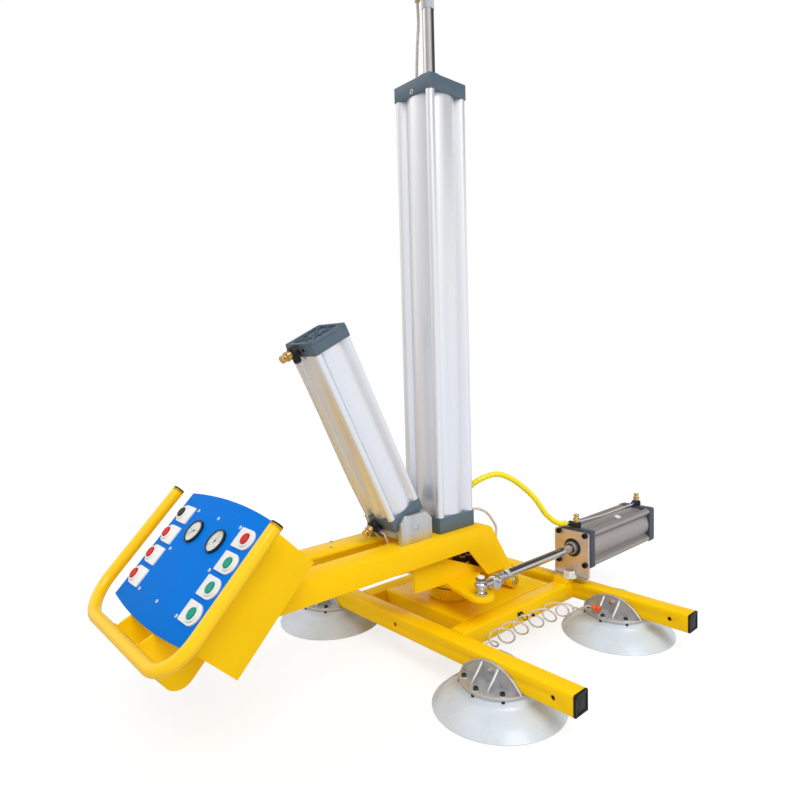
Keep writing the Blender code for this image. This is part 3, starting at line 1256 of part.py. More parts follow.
build_pad_frame()
for pad_name, pad_x, pad_y in pad_places():
    build_pad_mount(pad_name, pad_x, pad_y)
    build_suction_cup(pad_name, pad_x, pad_y)
build_turntable()
build_tilt_bracket()
build_lever_pin()
build_arm()
build_trunnion_ears()
build_hoist_cylinder()
build_tilt_cylinder()
build_slew_cylinder()
build_control_box()
build_panel()
build_buttons()
build_gauges()
build_handlebar()
build_hoses()
stand_over_origin()
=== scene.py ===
"""Looks of a vacuum lifter with pneumatic hoist, tilt and turning cylinders.

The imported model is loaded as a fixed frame, and every piece here is placed from it, rides on
one of its bodies and is measured in metres. A point given as x, y, z counts from the foot of
the hoist axis, and hoist_point() moves it into the frame.
"""

import json
from math import asin, cos, pi, radians, sin, sqrt, tau

import bmesh
import bpy
from mathutils import Matrix, Vector, noise

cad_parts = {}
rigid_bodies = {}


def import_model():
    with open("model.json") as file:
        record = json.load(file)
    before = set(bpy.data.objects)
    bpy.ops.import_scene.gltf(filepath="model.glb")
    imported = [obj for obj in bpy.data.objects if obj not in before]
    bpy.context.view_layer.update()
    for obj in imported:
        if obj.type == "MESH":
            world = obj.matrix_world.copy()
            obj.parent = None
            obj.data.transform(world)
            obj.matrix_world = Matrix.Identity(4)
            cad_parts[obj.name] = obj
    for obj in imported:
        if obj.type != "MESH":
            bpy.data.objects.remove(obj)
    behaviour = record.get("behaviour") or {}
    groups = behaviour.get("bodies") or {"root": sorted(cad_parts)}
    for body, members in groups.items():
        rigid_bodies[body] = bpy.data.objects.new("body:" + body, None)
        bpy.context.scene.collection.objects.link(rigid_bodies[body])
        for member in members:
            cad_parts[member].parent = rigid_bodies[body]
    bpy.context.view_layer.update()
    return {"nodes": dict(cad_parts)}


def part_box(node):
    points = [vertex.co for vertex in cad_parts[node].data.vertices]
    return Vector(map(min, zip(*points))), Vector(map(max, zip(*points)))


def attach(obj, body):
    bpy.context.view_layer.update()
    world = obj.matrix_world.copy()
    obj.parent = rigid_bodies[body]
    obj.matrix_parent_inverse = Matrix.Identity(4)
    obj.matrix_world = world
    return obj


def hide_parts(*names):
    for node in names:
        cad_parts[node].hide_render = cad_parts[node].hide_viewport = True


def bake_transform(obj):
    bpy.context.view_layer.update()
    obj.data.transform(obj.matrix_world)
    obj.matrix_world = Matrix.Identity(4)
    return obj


bl_info = {
    "name": "Vacuum lifter looks",
    "version": (1, 0, 0),
    "blender": (4, 5, 0),
    "location": "View3D > Sidebar > Lifter",
    "description": "Dresses the packed vacuum lifter with its pieces, finishes, light and camera",
    "category": "Object",
}

for leftover in list(bpy.data.objects):
    bpy.data.objects.remove(leftover)
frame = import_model()


def box_centre(node):
    low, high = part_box(node)
    return (low + high) / 2


HOIST_Y = box_centre("hoist_barrel").y


def hoist_point(x, y, z):
    """A point counted from the foot of the hoist axis, in the frame."""
    return Vector((x, y + HOIST_Y, z))


# Places of the main groups, as the solids have them
PANEL_SLOPE = radians(45.3)
PANEL_UP = Vector((0, cos(PANEL_SLOPE), sin(PANEL_SLOPE)))
PANEL_OUT = Vector((0, -sin(PANEL_SLOPE), cos(PANEL_SLOPE)))
PANEL_TOP = hoist_point(0, -0.648, 0.507)
TILT_LEAN = radians(26.1)
TILT_PLACE = Matrix.Translation(hoist_point(0, -0.160, 0.372)) @ Matrix.Rotation(TILT_LEAN, 4, "X")
SLEW_AXIS = Vector((0.200, -0.056, 0.221))
SLEW_SEAT = 0.016
SLEW_PLACE = Matrix.Translation(hoist_point(*SLEW_AXIS)) @ Matrix.Rotation(-pi / 2, 4, "X")
HOIST_PLACE = Matrix.Translation(hoist_point(0, 0, 0))
FRAME_TOP = 0.117
TUBE = 0.050
TUBE_BOTTOM = FRAME_TOP - TUBE
GAP = 0.0003

# Cylinders: half width of the caps, skin and rib radii of the barrels, rod radii
HOIST_CAP = 0.070
HOIST_SKIN = 0.066
HOIST_RIB = 0.012
HOIST_ROD = 0.016
HOIST_COLLAR = 0.0305
HOIST_COLLAR_RISE = 0.027
HOIST_NECK = 0.034
CAP = 0.056
SKIN = 0.053
RIB = 0.0098
ROD = 0.0125
BORE = 0.0495
PISTON = 0.022
CAP_LENGTH = 0.034
FLANGE = 0.009
CAP_CORNER = 0.003
CAP_EDGE = 0.0012

# Control panel: distances down the slope from its top edge, and out from its face
PANEL_HALF = 0.183
PANEL_LENGTH = 0.2687
PANEL_CROWN = 0.012
PANEL_SHEET = 0.003
BUTTON_X = 0.153
BUTTON_FIRST = 0.053
BUTTON_PITCH = 0.0535
BUTTON_RADIUS = 0.0117
BEZEL_INNER_X = 0.1125
BEZEL_HALF_HEIGHT = 0.0215
BEZEL_THICKNESS = 0.004
COLLAR_RADIUS = 0.0165
COLLAR_HEIGHT = 0.0085
BUTTON_TOP = 0.011
GAUGE_X = 0.053
GAUGE_DOWN = 0.0795
GAUGE_RADIUS = 0.027
GAUGE_BODY = 0.021
GAUGE_FRONT = 0.0065
GAUGE_DEPTH = 0.028
HANDLE_RADIUS = 0.0135
HANDLE_OUT = 0.0143
HANDLE_X = 0.230
HANDLE_TOP = 0.010
HANDLE_BAR = 0.323
HANDLE_BEND = 0.080
GUSSET_TIP = 0.329

# Suction pads
LIP_RADIUS = 0.158
SHOULDER_RADIUS = 0.108
SHOULDER_HEIGHT = 0.036
MOUNT_RADIUS = 0.094
MOUNT_FLANGE = 0.009
MOUNT_CHEEK = 0.005
MOUNT_RISE = 0.047
MOUNT_RIB_X = 0.024
SCREW_CIRCLE = 0.081
BEAM_CENTRE_Z = FRAME_TOP - TUBE / 2

# Routes of the hoses, the same points as the solids have
WRAP_ROUTE = [
    (0.008, 0.084, 0.3315), (0.010, 0.084, 0.365), (0.022, 0.086, 0.410), (0.050, 0.100, 0.446),
    (0.080, 0.155, 0.465), (0.110, 0.200, 0.445), (0.140, 0.256, 0.390), (0.160, 0.293, 0.332),
    (0.172, 0.335, 0.299), (0.176, 0.372, 0.2915)]
DRAIN_ROUTE = [
    (0.030, 0.0705, 0.361), (0.030, 0.115, 0.361), (0.031, 0.150, 0.350), (0.032, 0.178, 0.331),
    (0.033, 0.209, 0.290), (0.034, 0.2085, 0.262), (0.034, 0.200, 0.238), (0.034, 0.184, 0.222)]
FEED_ROUTE = [
    (-0.050, 0.000, 1.5547), (-0.050, 0.000, 1.580), (-0.046, -0.002, 1.630), (-0.040, -0.003, 1.690),
    (-0.038, 0.000, 1.740), (-0.040, 0.000, 1.800)]
COIL_ROUTE = [
    (0.244, -0.094, 0.085), (0.236, -0.040, 0.078), (0.230, 0.030, 0.072), (0.2272, 0.100, 0.074),
    (0.230, 0.180, 0.070), (0.236, 0.250, 0.068), (0.250, 0.300, 0.066)]
WRAP_LAND = 0.0140
COIL_TURNS = 7
COIL_CLEAR = Vector((0.0090, 0, 0.0110))
COIL_SLANT = 0.75
POINTS_A_TURN = 16

# Camera, from the photograph's perspective, and half the width of the floor
CAMERA_PLACE = hoist_point(1.2270, -1.2359, 0.8194)
CAMERA_AZIMUTH = radians(48.27)
CAMERA_DOWN = radians(4.09)
CAMERA_ROLL = radians(-1.61)
FLOOR_REACH = 40.0


class LIFTER_PG_finishes(bpy.types.PropertyGroup):
    """Colours of the painted, cast and moulded pieces."""
    paint: bpy.props.FloatVectorProperty(
        name="Frame paint", description="Powder coat of the arm, box and pad frame",
        subtype="COLOR", min=0, max=1, default=(1.0, 0.60, 0.002))
    panel: bpy.props.FloatVectorProperty(
        name="Panel", description="Coating of the control panel",
        subtype="COLOR", min=0, max=1, default=(0.0, 0.178, 0.69))
    casting: bpy.props.FloatVectorProperty(
        name="Cylinder caps", description="Paint of the cylinders' end caps",
        subtype="COLOR", min=0, max=1, default=(0.092, 0.138, 0.178))
    pad: bpy.props.FloatVectorProperty(
        name="Pads", description="Rubber of the suction cups",
        subtype="COLOR", min=0, max=1, default=(0.635, 0.70, 0.77))
    wrap: bpy.props.FloatVectorProperty(
        name="Hose wrap", description="Plastic of the spiral wrap round the hose bundle",
        subtype="COLOR", min=0, max=1, default=(0.95, 0.80, 0.003))


class LIFTER_PG_sizes(bpy.types.PropertyGroup):
    """Sizes of the hoses, fittings and edges that a user would change."""
    hose: bpy.props.FloatProperty(
        name="Air hose", description="Outside diameter of the drain and supply hoses",
        unit="LENGTH", min=0.004, max=0.012, default=0.008)
    thin_hose: bpy.props.FloatProperty(
        name="Thin hose", description="Outside diameter of the hoses on the flow controls and pads",
        unit="LENGTH", min=0.003, max=0.008, default=0.005)
    wrap: bpy.props.FloatProperty(
        name="Hose wrap", description="Outside diameter of the spiral wrap",
        unit="LENGTH", min=0.012, max=0.022, default=0.017)
    coil: bpy.props.FloatProperty(
        name="Coil radius", description="Radius of the coiled hose at the middle of its tube",
        unit="LENGTH", min=0.018, max=0.026, default=0.0225)
    edge: bpy.props.FloatProperty(
        name="Sheet edge", description="Rounding on the edges of painted sheet and tube",
        unit="LENGTH", min=0.0002, max=0.002, default=0.0009)


def fill(tree, node, inputs):
    """Sets a shader node's inputs, each to a value or to another node's output."""
    for key, value in inputs.items():
        if isinstance(value, bpy.types.NodeSocket):
            tree.links.new(value, node.inputs[key])
        else:
            node.inputs[key].default_value = value


def add_node(tree, kind, inputs, output=0, **settings):
    """Adds a shader node and gives back one of its outputs."""
    node = tree.nodes.new("ShaderNode" + kind)
    for name, value in settings.items():
        setattr(node, name, value)
    fill(tree, node, inputs)
    return node.outputs[output]


def add_range(tree, value, *limits):
    """Maps a value from one range to another; limits are From Min, From Max, To Min and To Max."""
    names = ("From Min", "From Max", "To Min", "To Max")
    return add_node(tree, "MapRange", {"Value": value, **dict(zip(names, limits))}, "Result")


def add_mix(tree, share, a, b, blend="MIX"):
    """Mixes two colours by a share."""
    inputs = {"Factor": share, "A": a, "B": b}
    return add_node(tree, "Mix", inputs, "Result", data_type="RGBA", blend_type=blend)


def add_ramp(tree, value, stops):
    """A colour ramp through stops of a position and a colour."""
    node = tree.nodes.new("ShaderNodeValToRGB")
    for i, (position, colour) in enumerate(stops):
        stop = node.color_ramp.elements[i] if i < 2 else node.color_ramp.elements.new(position)
        stop.position = position
        stop.color = (*colour, 1)
    tree.links.new(value, node.inputs["Fac"])
    return node.outputs["Color"]


def add_noise(tree, vector, scale, detail, **inputs):
    return add_node(tree, "TexNoise", {"Vector": vector, "Scale": scale, "Detail": detail, **inputs}, "Fac")


def finish(name, colour, spread, gloss, metallic, cloud, grain, depth, stretch=(1, 1, 1), bump=0.35,
           scuffs=0.0, **sockets):
    """A surface with uneven colour and gloss, fine relief, and a share of dull scuffs."""
    look = bpy.data.materials.new(name)
    look.use_nodes = True
    tree = look.node_tree
    place = add_node(tree, "TexCoord", {}, "Object")
    scaled = add_node(tree, "Mapping", {"Vector": place, "Scale": stretch})
    clouds = add_noise(tree, scaled, cloud, 6, Roughness=0.6)
    dark = [c * (1 - spread) for c in colour]
    light = [min(1, c * (1 + spread * 0.6)) for c in colour]
    roughness = add_range(tree, clouds, 0.3, 0.7, *gloss)
    if scuffs:
        marks = add_noise(tree, place, 60, 8, Distortion=1.5)
        worn = add_range(tree, marks, 0.60, 0.72, 0, scuffs)
        roughness = add_node(tree, "Math", {0: roughness, 1: worn}, operation="ADD", use_clamp=True)
    fine = add_noise(tree, scaled, grain, 3)
    relief = add_node(tree, "Bump", {"Height": fine, "Strength": bump, "Distance": depth})
    extra = {key.replace("_", " "): value for key, value in sockets.items()}
    tint = add_ramp(tree, clouds, ((0.32, dark), (0.68, light)))
    fill(tree, tree.nodes["Principled BSDF"], {
        "Base Color": tint, "Metallic": metallic, "Roughness": roughness, "Normal": relief, **extra})
    return look


def make_finishes():
    """Every finish by slot: name, colour, spread, gloss, metallic, cloud, grain, relief in micrometres."""
    own = bpy.context.scene.lifter_finishes
    along_z = (1, 1, 0.012)
    rows = {
        "yellow_paint": ("yellow_powder_coat", own.paint, 0.04, (0.26, 0.36), 0, 5, 420, 60,
                         dict(bump=0.2, scuffs=0.10, Specular_IOR_Level=0.10)),
        "bar_paint": ("yellow_bar_coat", own.paint, 0.03, (0.20, 0.26), 0, 5, 420, 30,
                      dict(bump=0.1, scuffs=0.05, Specular_IOR_Level=0.15, Coat_Weight=0.40,
                           Coat_Roughness=0.06)),
        "blue_paint": ("blue_panel_coat", own.panel, 0.05, (0.38, 0.50), 0, 6, 900, 40,
                       dict(scuffs=0.10, Specular_IOR_Level=0.03)),
        "slate_paint": ("slate_cap_paint", own.casting, 0.10, (0.38, 0.52), 0, 16, 520, 140,
                        dict(scuffs=0.15)),
        # painted shade: a darker copy of the slate cap paint, for the turning cylinder's caps
        "dark_slate": ("dark_slate_cap_paint", (0.052, 0.062, 0.090), 0.10, (0.34, 0.48), 0, 16, 520, 120,
                       dict(scuffs=0.15, Specular_IOR_Level=0.35)),
        "anodised": ("anodised_extrusion", (0.85, 0.865, 0.90), 0.03, (0.28, 0.38), 0.62, 30, 900, 30,
                     dict(stretch=along_z)),
        "dull_anodised": ("dull_anodised_extrusion", (0.40, 0.375, 0.36), 0.06, (0.34, 0.46), 0.60,
                          30, 900, 40, dict(stretch=along_z)),
        "bare_aluminium": ("milled_aluminium", (0.62, 0.62, 0.63), 0.12, (0.30, 0.48), 0.9, 40, 1300, 80,
                           dict(stretch=(0.3, 1, 0.06))),
        "cast_aluminium": ("cast_aluminium", (0.56, 0.565, 0.575), 0.16, (0.36, 0.55), 0.75, 28, 620, 350,
                           dict(bump=0.6)),
        "chrome_steel": ("chromed_rod", (0.60, 0.59, 0.59), 0.05, (0.05, 0.10), 1, 20, 1500, 10,
                         dict(stretch=(0.02, 0.02, 1), bump=0.15)),
        "zinc_steel": ("zinc_plated_steel", (0.62, 0.62, 0.635), 0.06, (0.20, 0.28), 1, 25, 900, 20,
                       dict(bump=0.2)),
        "dark_steel": ("oiled_steel", (0.055, 0.055, 0.060), 0.25, (0.28, 0.45), 0.8, 50, 800, 60, {}),
        "bronze": ("bronze_sheet", (0.76, 0.64, 0.555), 0.10, (0.30, 0.46), 0.65, 26, 1200, 60,
                   dict(stretch=(0.08, 1, 1), scuffs=0.15)),
        "brass": ("turned_brass", (0.72, 0.52, 0.22), 0.12, (0.18, 0.30), 1, 120, 1500, 30, {}),
        "pad_rubber": ("grey_pad_rubber", own.pad, 0.04, (0.22, 0.34), 0, 14, 500, 60,
                       dict(scuffs=0.16, Coat_Weight=0.25, Coat_Roughness=0.14)),
        "black_plastic": ("black_plastic", (0.010, 0.010, 0.011), 0.30, (0.38, 0.52), 0, 60, 1500, 50,
                          dict(scuffs=0.1, Specular_IOR_Level=0.32)),
        "white_plastic": ("white_plastic", (0.83, 0.83, 0.81), 0.03, (0.26, 0.36), 0, 40, 1400, 30, {}),
        "red_plastic": ("red_button_plastic", (0.60, 0.012, 0.008), 0.06, (0.24, 0.34), 0, 90, 1400, 30,
                        dict(Specular_IOR_Level=0.15)),
        "orange_plastic": ("orange_fitting_plastic", (0.86, 0.10, 0.012), 0.08, (0.24, 0.36), 0,
                           90, 1400, 30, {}),
        "green_plastic": ("green_button_plastic", (0.0, 0.31, 0.205), 0.06, (0.24, 0.34), 0, 90, 1400, 30,
                          dict(Specular_IOR_Level=0.15)),
        "blue_plastic": ("blue_ring_plastic", (0.010, 0.055, 0.52), 0.08, (0.25, 0.35), 0, 90, 1400, 30, {}),
        "violet_plastic": ("violet_ring_plastic", (0.17, 0.12, 0.42), 0.08, (0.25, 0.35), 0,
                           90, 1400, 30, {}),
        "yellow_wrap": ("yellow_wrap_plastic", own.wrap, 0.06, (0.24, 0.36), 0, 50, 900, 60, {}),
        "clear_hose": ("clear_hose_plastic", (0.86, 0.82, 0.76), 0.06, (0.12, 0.22), 0, 50, 900, 10,
                       dict(Transmission_Weight=0.45, IOR=1.33)),
        "dial_card": ("dial_card", (0.88, 0.89, 0.86), 0.02, (0.50, 0.60), 0, 80, 1500, 10, {}),
        "dial_ink": ("dial_ink", (0.020, 0.020, 0.022), 0.15, (0.45, 0.55), 0, 200, 1500, 10, {}),
        "dial_band": ("dial_band", (0.010, 0.22, 0.16), 0.10, (0.45, 0.55), 0, 200, 1500, 10, {}),
        "lens": ("gauge_lens", (0.96, 0.97, 0.96), 0.02, (0.02, 0.05), 0, 60, 1500, 10,
                 dict(bump=0.05, Transmission_Weight=1.0, IOR=1.22)),
        "tag": ("bare_tag", (0.80, 0.80, 0.77), 0.05, (0.36, 0.48), 0, 90, 1500, 20, {}),
    }
    return {slot: finish(*row[:7], row[7] / 1e6, **row[8]) for slot, row in rows.items()}


LOOKS = {}
SIDE_VIEW = Matrix(((0, 0, 1), (1, 0, 0), (0, 1, 0))).to_4x4()


def up(height):
    """A vector along the Z axis, in metres."""
    return Vector((0, 0, height))


def shift(x, y, z):
    return Matrix.Translation((x, y, z))


def along(start, end):
    """A place at start whose Z axis points to end."""
    start, end = Vector(start), Vector(end)
    turn = up(1).rotation_difference(end - start).to_matrix().to_4x4()
    return Matrix.Translation(start) @ turn


def turned(profile, steps):
    """A solid of revolution about Z from (radius, height) points around its section."""
    solid = bmesh.new()
    rings = []
    for radius, height in profile:
        count = 1 if radius < 1e-7 else steps
        rings.append([solid.verts.new((radius * cos(tau * i / steps), radius * sin(tau * i / steps),
            height)) for i in range(count)])
    pairs = list(zip(rings, rings[1:]))
    if len(rings[0]) > 1 or len(rings[-1]) > 1:
        pairs.append((rings[-1], rings[0]))
    for low, high in pairs:
        if len(low) == 1 and len(high) == 1:
            continue
        for i in range(steps):
            j = (i + 1) % steps
            corners = [low[i % len(low)], low[j % len(low)], high[j % len(high)], high[i % len(high)]]
            solid.faces.new(list(dict.fromkeys(corners)))
    return solid


def washer(inner, outer, low, high, steps):
    """A flat ring about Z."""
    return turned([(inner, low), (outer, low), (outer, high), (inner, high)], steps)


def rod(radius, start, end, steps, chamfer=0.0):
    """A round bar between two points, with small chamfers."""
    length = (Vector(end) - Vector(start)).length
    trim = min(chamfer, length / 3, radius / 2)
    profile = [(0, 0), (radius - trim, 0), (radius, trim), (radius, length - trim), (radius - trim, length),
        (0, length)]
    if not trim:
        profile = [(0, 0), (radius, 0), (radius, length), (0, length)]
    solid = turned(profile, steps)
    solid.transform(along(start, end))
    return solid


def hexagon(radius, start, end, chamfer=0.0008):
    """A hexagonal head or nut between two points."""
    return rod(radius, start, end, 6, chamfer)


def sharp_edges(solid):
    """The edges that turn by more than 30 degrees."""
    return [edge
        for edge in solid.edges if len(edge.link_faces) == 2 and edge.calc_face_angle(0) > radians(30)]


def round_edges(solid, width, segments=2, edges=None):
    chosen = sharp_edges(solid) if edges is None else edges
    if width > 0 and chosen:
        bmesh.ops.bevel(solid, geom=chosen, offset=width, segments=segments, profile=0.5, affect="EDGES",
            clamp_overlap=True)
    return solid


def block(low, high, edge=0.0, corner=0.0, corner_axis="z"):
    """A box with rounded corners along one axis and softened edges."""
    solid = bmesh.new()
    bmesh.ops.create_cube(solid, size=1)
    for vertex in solid.verts:
        for i in range(3):
            vertex.co[i] = low[i] if vertex.co[i] < 0 else high[i]
    if corner:
        axis = "xyz".index(corner_axis)
        round_edges(solid, corner, 4, [e
            for e in solid.edges if abs((e.verts[1].co - e.verts[0].co).normalized()[axis]) > 0.99])
    return round_edges(solid, edge)


def loft(rings):
    """A closed solid through rings of points, with a flat face at each end."""
    solid = bmesh.new()
    rings = [[solid.verts.new(point) for point in ring] for ring in rings]
    solid.faces.new(list(reversed(rings[0])))
    solid.faces.new(rings[-1])
    for low, high in zip(rings, rings[1:]):
        for i in range(len(low)):
            j = (i + 1) % len(low)
            solid.faces.new((low[i], low[j], high[j], high[i]))
    return solid


def slab(outline, low, high, edge=0.0, place=None):
    """A flat plate from a closed outline without holes."""
    solid = loft([[(u, v, level) for u, v in outline] for level in (low, high)])
    bmesh.ops.recalc_face_normals(solid, faces=solid.faces)
    level = [e for e in sharp_edges(solid) if abs(e.verts[0].co.z - e.verts[1].co.z) < 1e-7]
    round_edges(solid, edge, 2, level)
    if place is not None:
        solid.transform(place)
    return solid


def arc(centre, radius, start, end, steps):
    return [(centre[0] + radius * cos(radians(start + (end - start) * i / steps)),
        centre[1] + radius * sin(radians(start + (end - start) * i / steps))) for i in range(steps + 1)]


def smooth_path(points, count):
    """Points an equal distance apart on a smooth curve through the given ones."""
    route = [Vector(p) for p in points]
    ends = [2 * route[0] - route[1]] + route + [2 * route[-1] - route[-2]]
    dense = []
    for i in range(1, len(ends) - 2):
        before, start, end, after = ends[i - 1:i + 3]
        for step in range(24):
            t = step / 24
            dense.append(0.5 * (
                2 * start + (end - before) * t
                + (2 * before - 5 * start + 4 * end - after) * t ** 2
                + (3 * start - before - 3 * end + after) * t ** 3))
    dense.append(route[-1])
    walked = [0.0]
    for a, b in zip(dense, dense[1:]):
        walked.append(walked[-1] + (b - a).length)
    kept = []
    at = 0
    for i in range(count):
        target = walked[-1] * i / (count - 1)
        while at < len(walked) - 2 and walked[at + 1] < target:
            at += 1
        span = walked[at + 1] - walked[at]
        kept.append(dense[at].lerp(dense[at + 1], (target - walked[at]) / span if span else 0))
    return kept


def carried_frames(points):
    """Tangent, side and rise at each point of a path, turned as little as possible."""
    frames = []
    side = None
    for i, point in enumerate(points):
        tangent = (points[min(i + 1, len(points) - 1)] - points[max(i - 1, 0)]).normalized()
        if side is None:
            guess = Vector((1, 0, 0)) if abs(tangent.x) < 0.8 else Vector((0, 1, 0))
            side = tangent.cross(guess).normalized()
        side = (side - tangent * side.dot(tangent)).normalized()
        frames.append((point, tangent, side, tangent.cross(side)))
    return frames


def swept(points, radius, sides):
    """A round bar along a path; radius is a number, or a function of distance and angle."""
    rings = []
    walked = 0.0
    for i, (point, _, side, rise) in enumerate(carried_frames(points)):
        if i:
            walked += (points[i] - points[i - 1]).length
        angles = [tau * j / sides for j in range(sides)]
        rings.append([point + (side * cos(angle) + rise * sin(angle)) * (radius(walked,
            angle) if callable(radius) else radius) for angle in angles])
    return loft(rings)


def from_node(node, width, move):
    """The solid of a node with its facets joined and its sharp edges rounded; move shifts its corners."""
    solid = bmesh.new()
    solid.from_mesh(frame["nodes"][node].data)
    if move:
        for vertex in solid.verts:
            vertex.co = move(vertex.co)
    bmesh.ops.remove_doubles(solid, verts=solid.verts, dist=0.00002)
    bmesh.ops.dissolve_limit(solid, angle_limit=radians(0.5), verts=solid.verts, edges=solid.edges)
    return round_edges(solid, width)


def numeral(text, size):
    """A flat number for a dial, centred on the origin."""
    curve = bpy.data.curves.new("numeral", "FONT")
    curve.body = text
    curve.size = size
    curve.align_x = "CENTER"
    curve.align_y = "CENTER"
    curve.extrude = 0.00004
    curve.resolution_u = 3
    guide = bpy.data.objects.new("numeral", curve)
    bpy.context.scene.collection.objects.link(guide)
    mesh = bpy.data.meshes.new_from_object(guide.evaluated_get(bpy.context.evaluated_depsgraph_get()))
    bpy.data.objects.remove(guide)
    bpy.data.curves.remove(curve)
    solid = bmesh.new()
    solid.from_mesh(mesh)
    bpy.data.meshes.remove(mesh)
    return solid


class Piece:
    """Collects solids with their finishes and makes one object of them."""

    def __init__(self):
        self.solid = bmesh.new()
        self.looks = []

    def add(self, solid, look, place=None):
        if look not in self.looks:
            self.looks.append(look)
        bmesh.ops.recalc_face_normals(solid, faces=solid.faces)
        for face in solid.faces:
            face.material_index = self.looks.index(look)
            face.smooth = True
        if place is not None:
            solid.transform(place)
        mesh = bpy.data.meshes.new("solid")
        solid.to_mesh(mesh)
        solid.free()
        self.solid.from_mesh(mesh)
        bpy.data.meshes.remove(mesh)
        return self

    def make(self, name, body, place=None, replaces=(), sharp=32):
        mesh = bpy.data.meshes.new(name)
        self.solid.to_mesh(mesh)
        self.solid.free()
        mesh.set_sharp_from_angle(angle=radians(sharp))
        for look in self.looks:
            mesh.materials.append(LOOKS[look])
        piece = bpy.data.objects.new(name, mesh)
        bpy.context.scene.collection.objects.link(piece)
        if place is not None:
            piece.matrix_world = place
        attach(piece, body)
        if replaces:
            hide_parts(*replaces)
        return piece

    def dress(self, node, ending, body, place=None, sharp=32):
        """Makes the piece that takes the place of one node."""
        return self.make(node + ending, body, place, (node,), sharp)


def paint_node(node, ending, body, width, look="yellow_paint", sharp=30, move=None):
    """Makes the piece that keeps a node's own shape, with rounded edges of one width."""
    Piece().add(from_node(node, width, move), look).dress(node, ending, body, sharp=sharp)


def socket_screw(piece, seat, out, radius, height, look="dark_steel"):
    """A socket head screw: a chamfered head with a recess."""
    seat, out = Vector(seat), Vector(out).normalized()
    inner = radius * 0.52
    head = turned([(0, 0), (radius, 0), (radius, height - 0.0006), (radius - 0.0006, height),
        (inner, height), (inner, height * 0.45), (0, height * 0.45)], 24)
    piece.add(head, look, along(seat, seat + out))


def flow_control(piece, seat, arm, ring="blue_plastic", scale=1.15):
    """A flow control on a cap's -Y face: foot, body, adjusting screw with its nut, and a push-in elbow."""
    seat, out, arm = Vector(seat), Vector((0, -1, 0)), Vector(arm).normalized()
    place = along(seat, seat + out) @ Matrix.Scale(scale, 4)
    piece.add(hexagon(0.0098, (0, 0, -0.003), (0, 0, 0.006)), "brass", place)
    piece.add(turned([(0, 0.002), (0.0112, 0.002), (0.0124, 0.0034), (0.0124, 0.0138), (0.011, 0.0152),
        (0.0086, 0.017), (0, 0.017)], 32), "black_plastic", place)
    piece.add(turned([(0, 0.016), (0.0078, 0.016), (0.0078, 0.0205), (0.0092, 0.0212), (0.0092, 0.0262),
        (0.0076, 0.027), (0.0056, 0.0274), (0.0052, 0.028), (0.0052, 0.0306), (0.007, 0.0312),
        (0.0074, 0.0322), (0.0074, 0.0366), (0.0064, 0.0376), (0, 0.0376)], 28), "brass", place)
    middle = seat + out * 0.0105
    piece.add(rod(0.0074 * scale, middle, middle + arm * 0.024, 24, 0.0008), "black_plastic")
    piece.add(rod(0.0063 * scale, middle + arm * 0.0235, middle + arm * 0.0268, 24, 0.0006), ring)
    return middle + arm * 0.026


def port_hole(piece, port, look, inner, outer, low, high, bore):
    """A small threaded port in a cap's -Y face: a ring from low to high, and behind it a black disc, painted
    shade of the bore.
    """
    piece.add(washer(inner, outer, low, high, 24), look, along(port, port - Vector((0, 1, 0))))
    # black disc: painted shade of the bore
    piece.add(rod(inner + 0.0001, port + Vector((0, 0.001, 0)), port - Vector((0, bore, 0)), 20),
        "black_plastic")


def air_hose(name, route, diameter, body, count, replaces=()):
    """A smooth clear hose along a route in the frame."""
    hose = Piece().add(swept(smooth_path(route, count * 3), diameter / 2, 16), "clear_hose")
    hose = hose.make(name, body, replaces=replaces, sharp=60)


class LIFTER_OT_stage(bpy.types.Operator):
    """Sets up the camera at the photograph's angle, a pale floor and soft even light"""
    bl_idname = "lifter.stage"
    bl_label = "Stage"

    def execute(self, context):
        place_camera(context.scene)
        light_scene(context.scene)
        lay_floor()
        return {"FINISHED"}


def place_camera(scene):
    lens = bpy.data.cameras.new("camera")
    lens.sensor_width = 36
    lens.lens = 27.53
    lens.clip_start = 0.02
    camera = bpy.data.objects.new("camera", lens)
    scene.collection.objects.link(camera)
    a, p, r = CAMERA_AZIMUTH, CAMERA_DOWN, CAMERA_ROLL
    forward = Vector((-sin(a) * cos(p), cos(a) * cos(p), -sin(p)))
    right = Vector((cos(a), sin(a), 0))
    rise = right.cross(forward)
    turn = Matrix((right * cos(r) + rise * sin(r), rise * cos(r) - right * sin(r), -forward))
    camera.matrix_world = Matrix.Translation(CAMERA_PLACE) @ turn.transposed().to_4x4()
    scene.camera = camera


def shaded(stops, tint):
    """Stops of a grey ramp, each a position and a shade, tinted by one colour."""
    return [(position, [shade * part for part in tint]) for position, shade in stops]


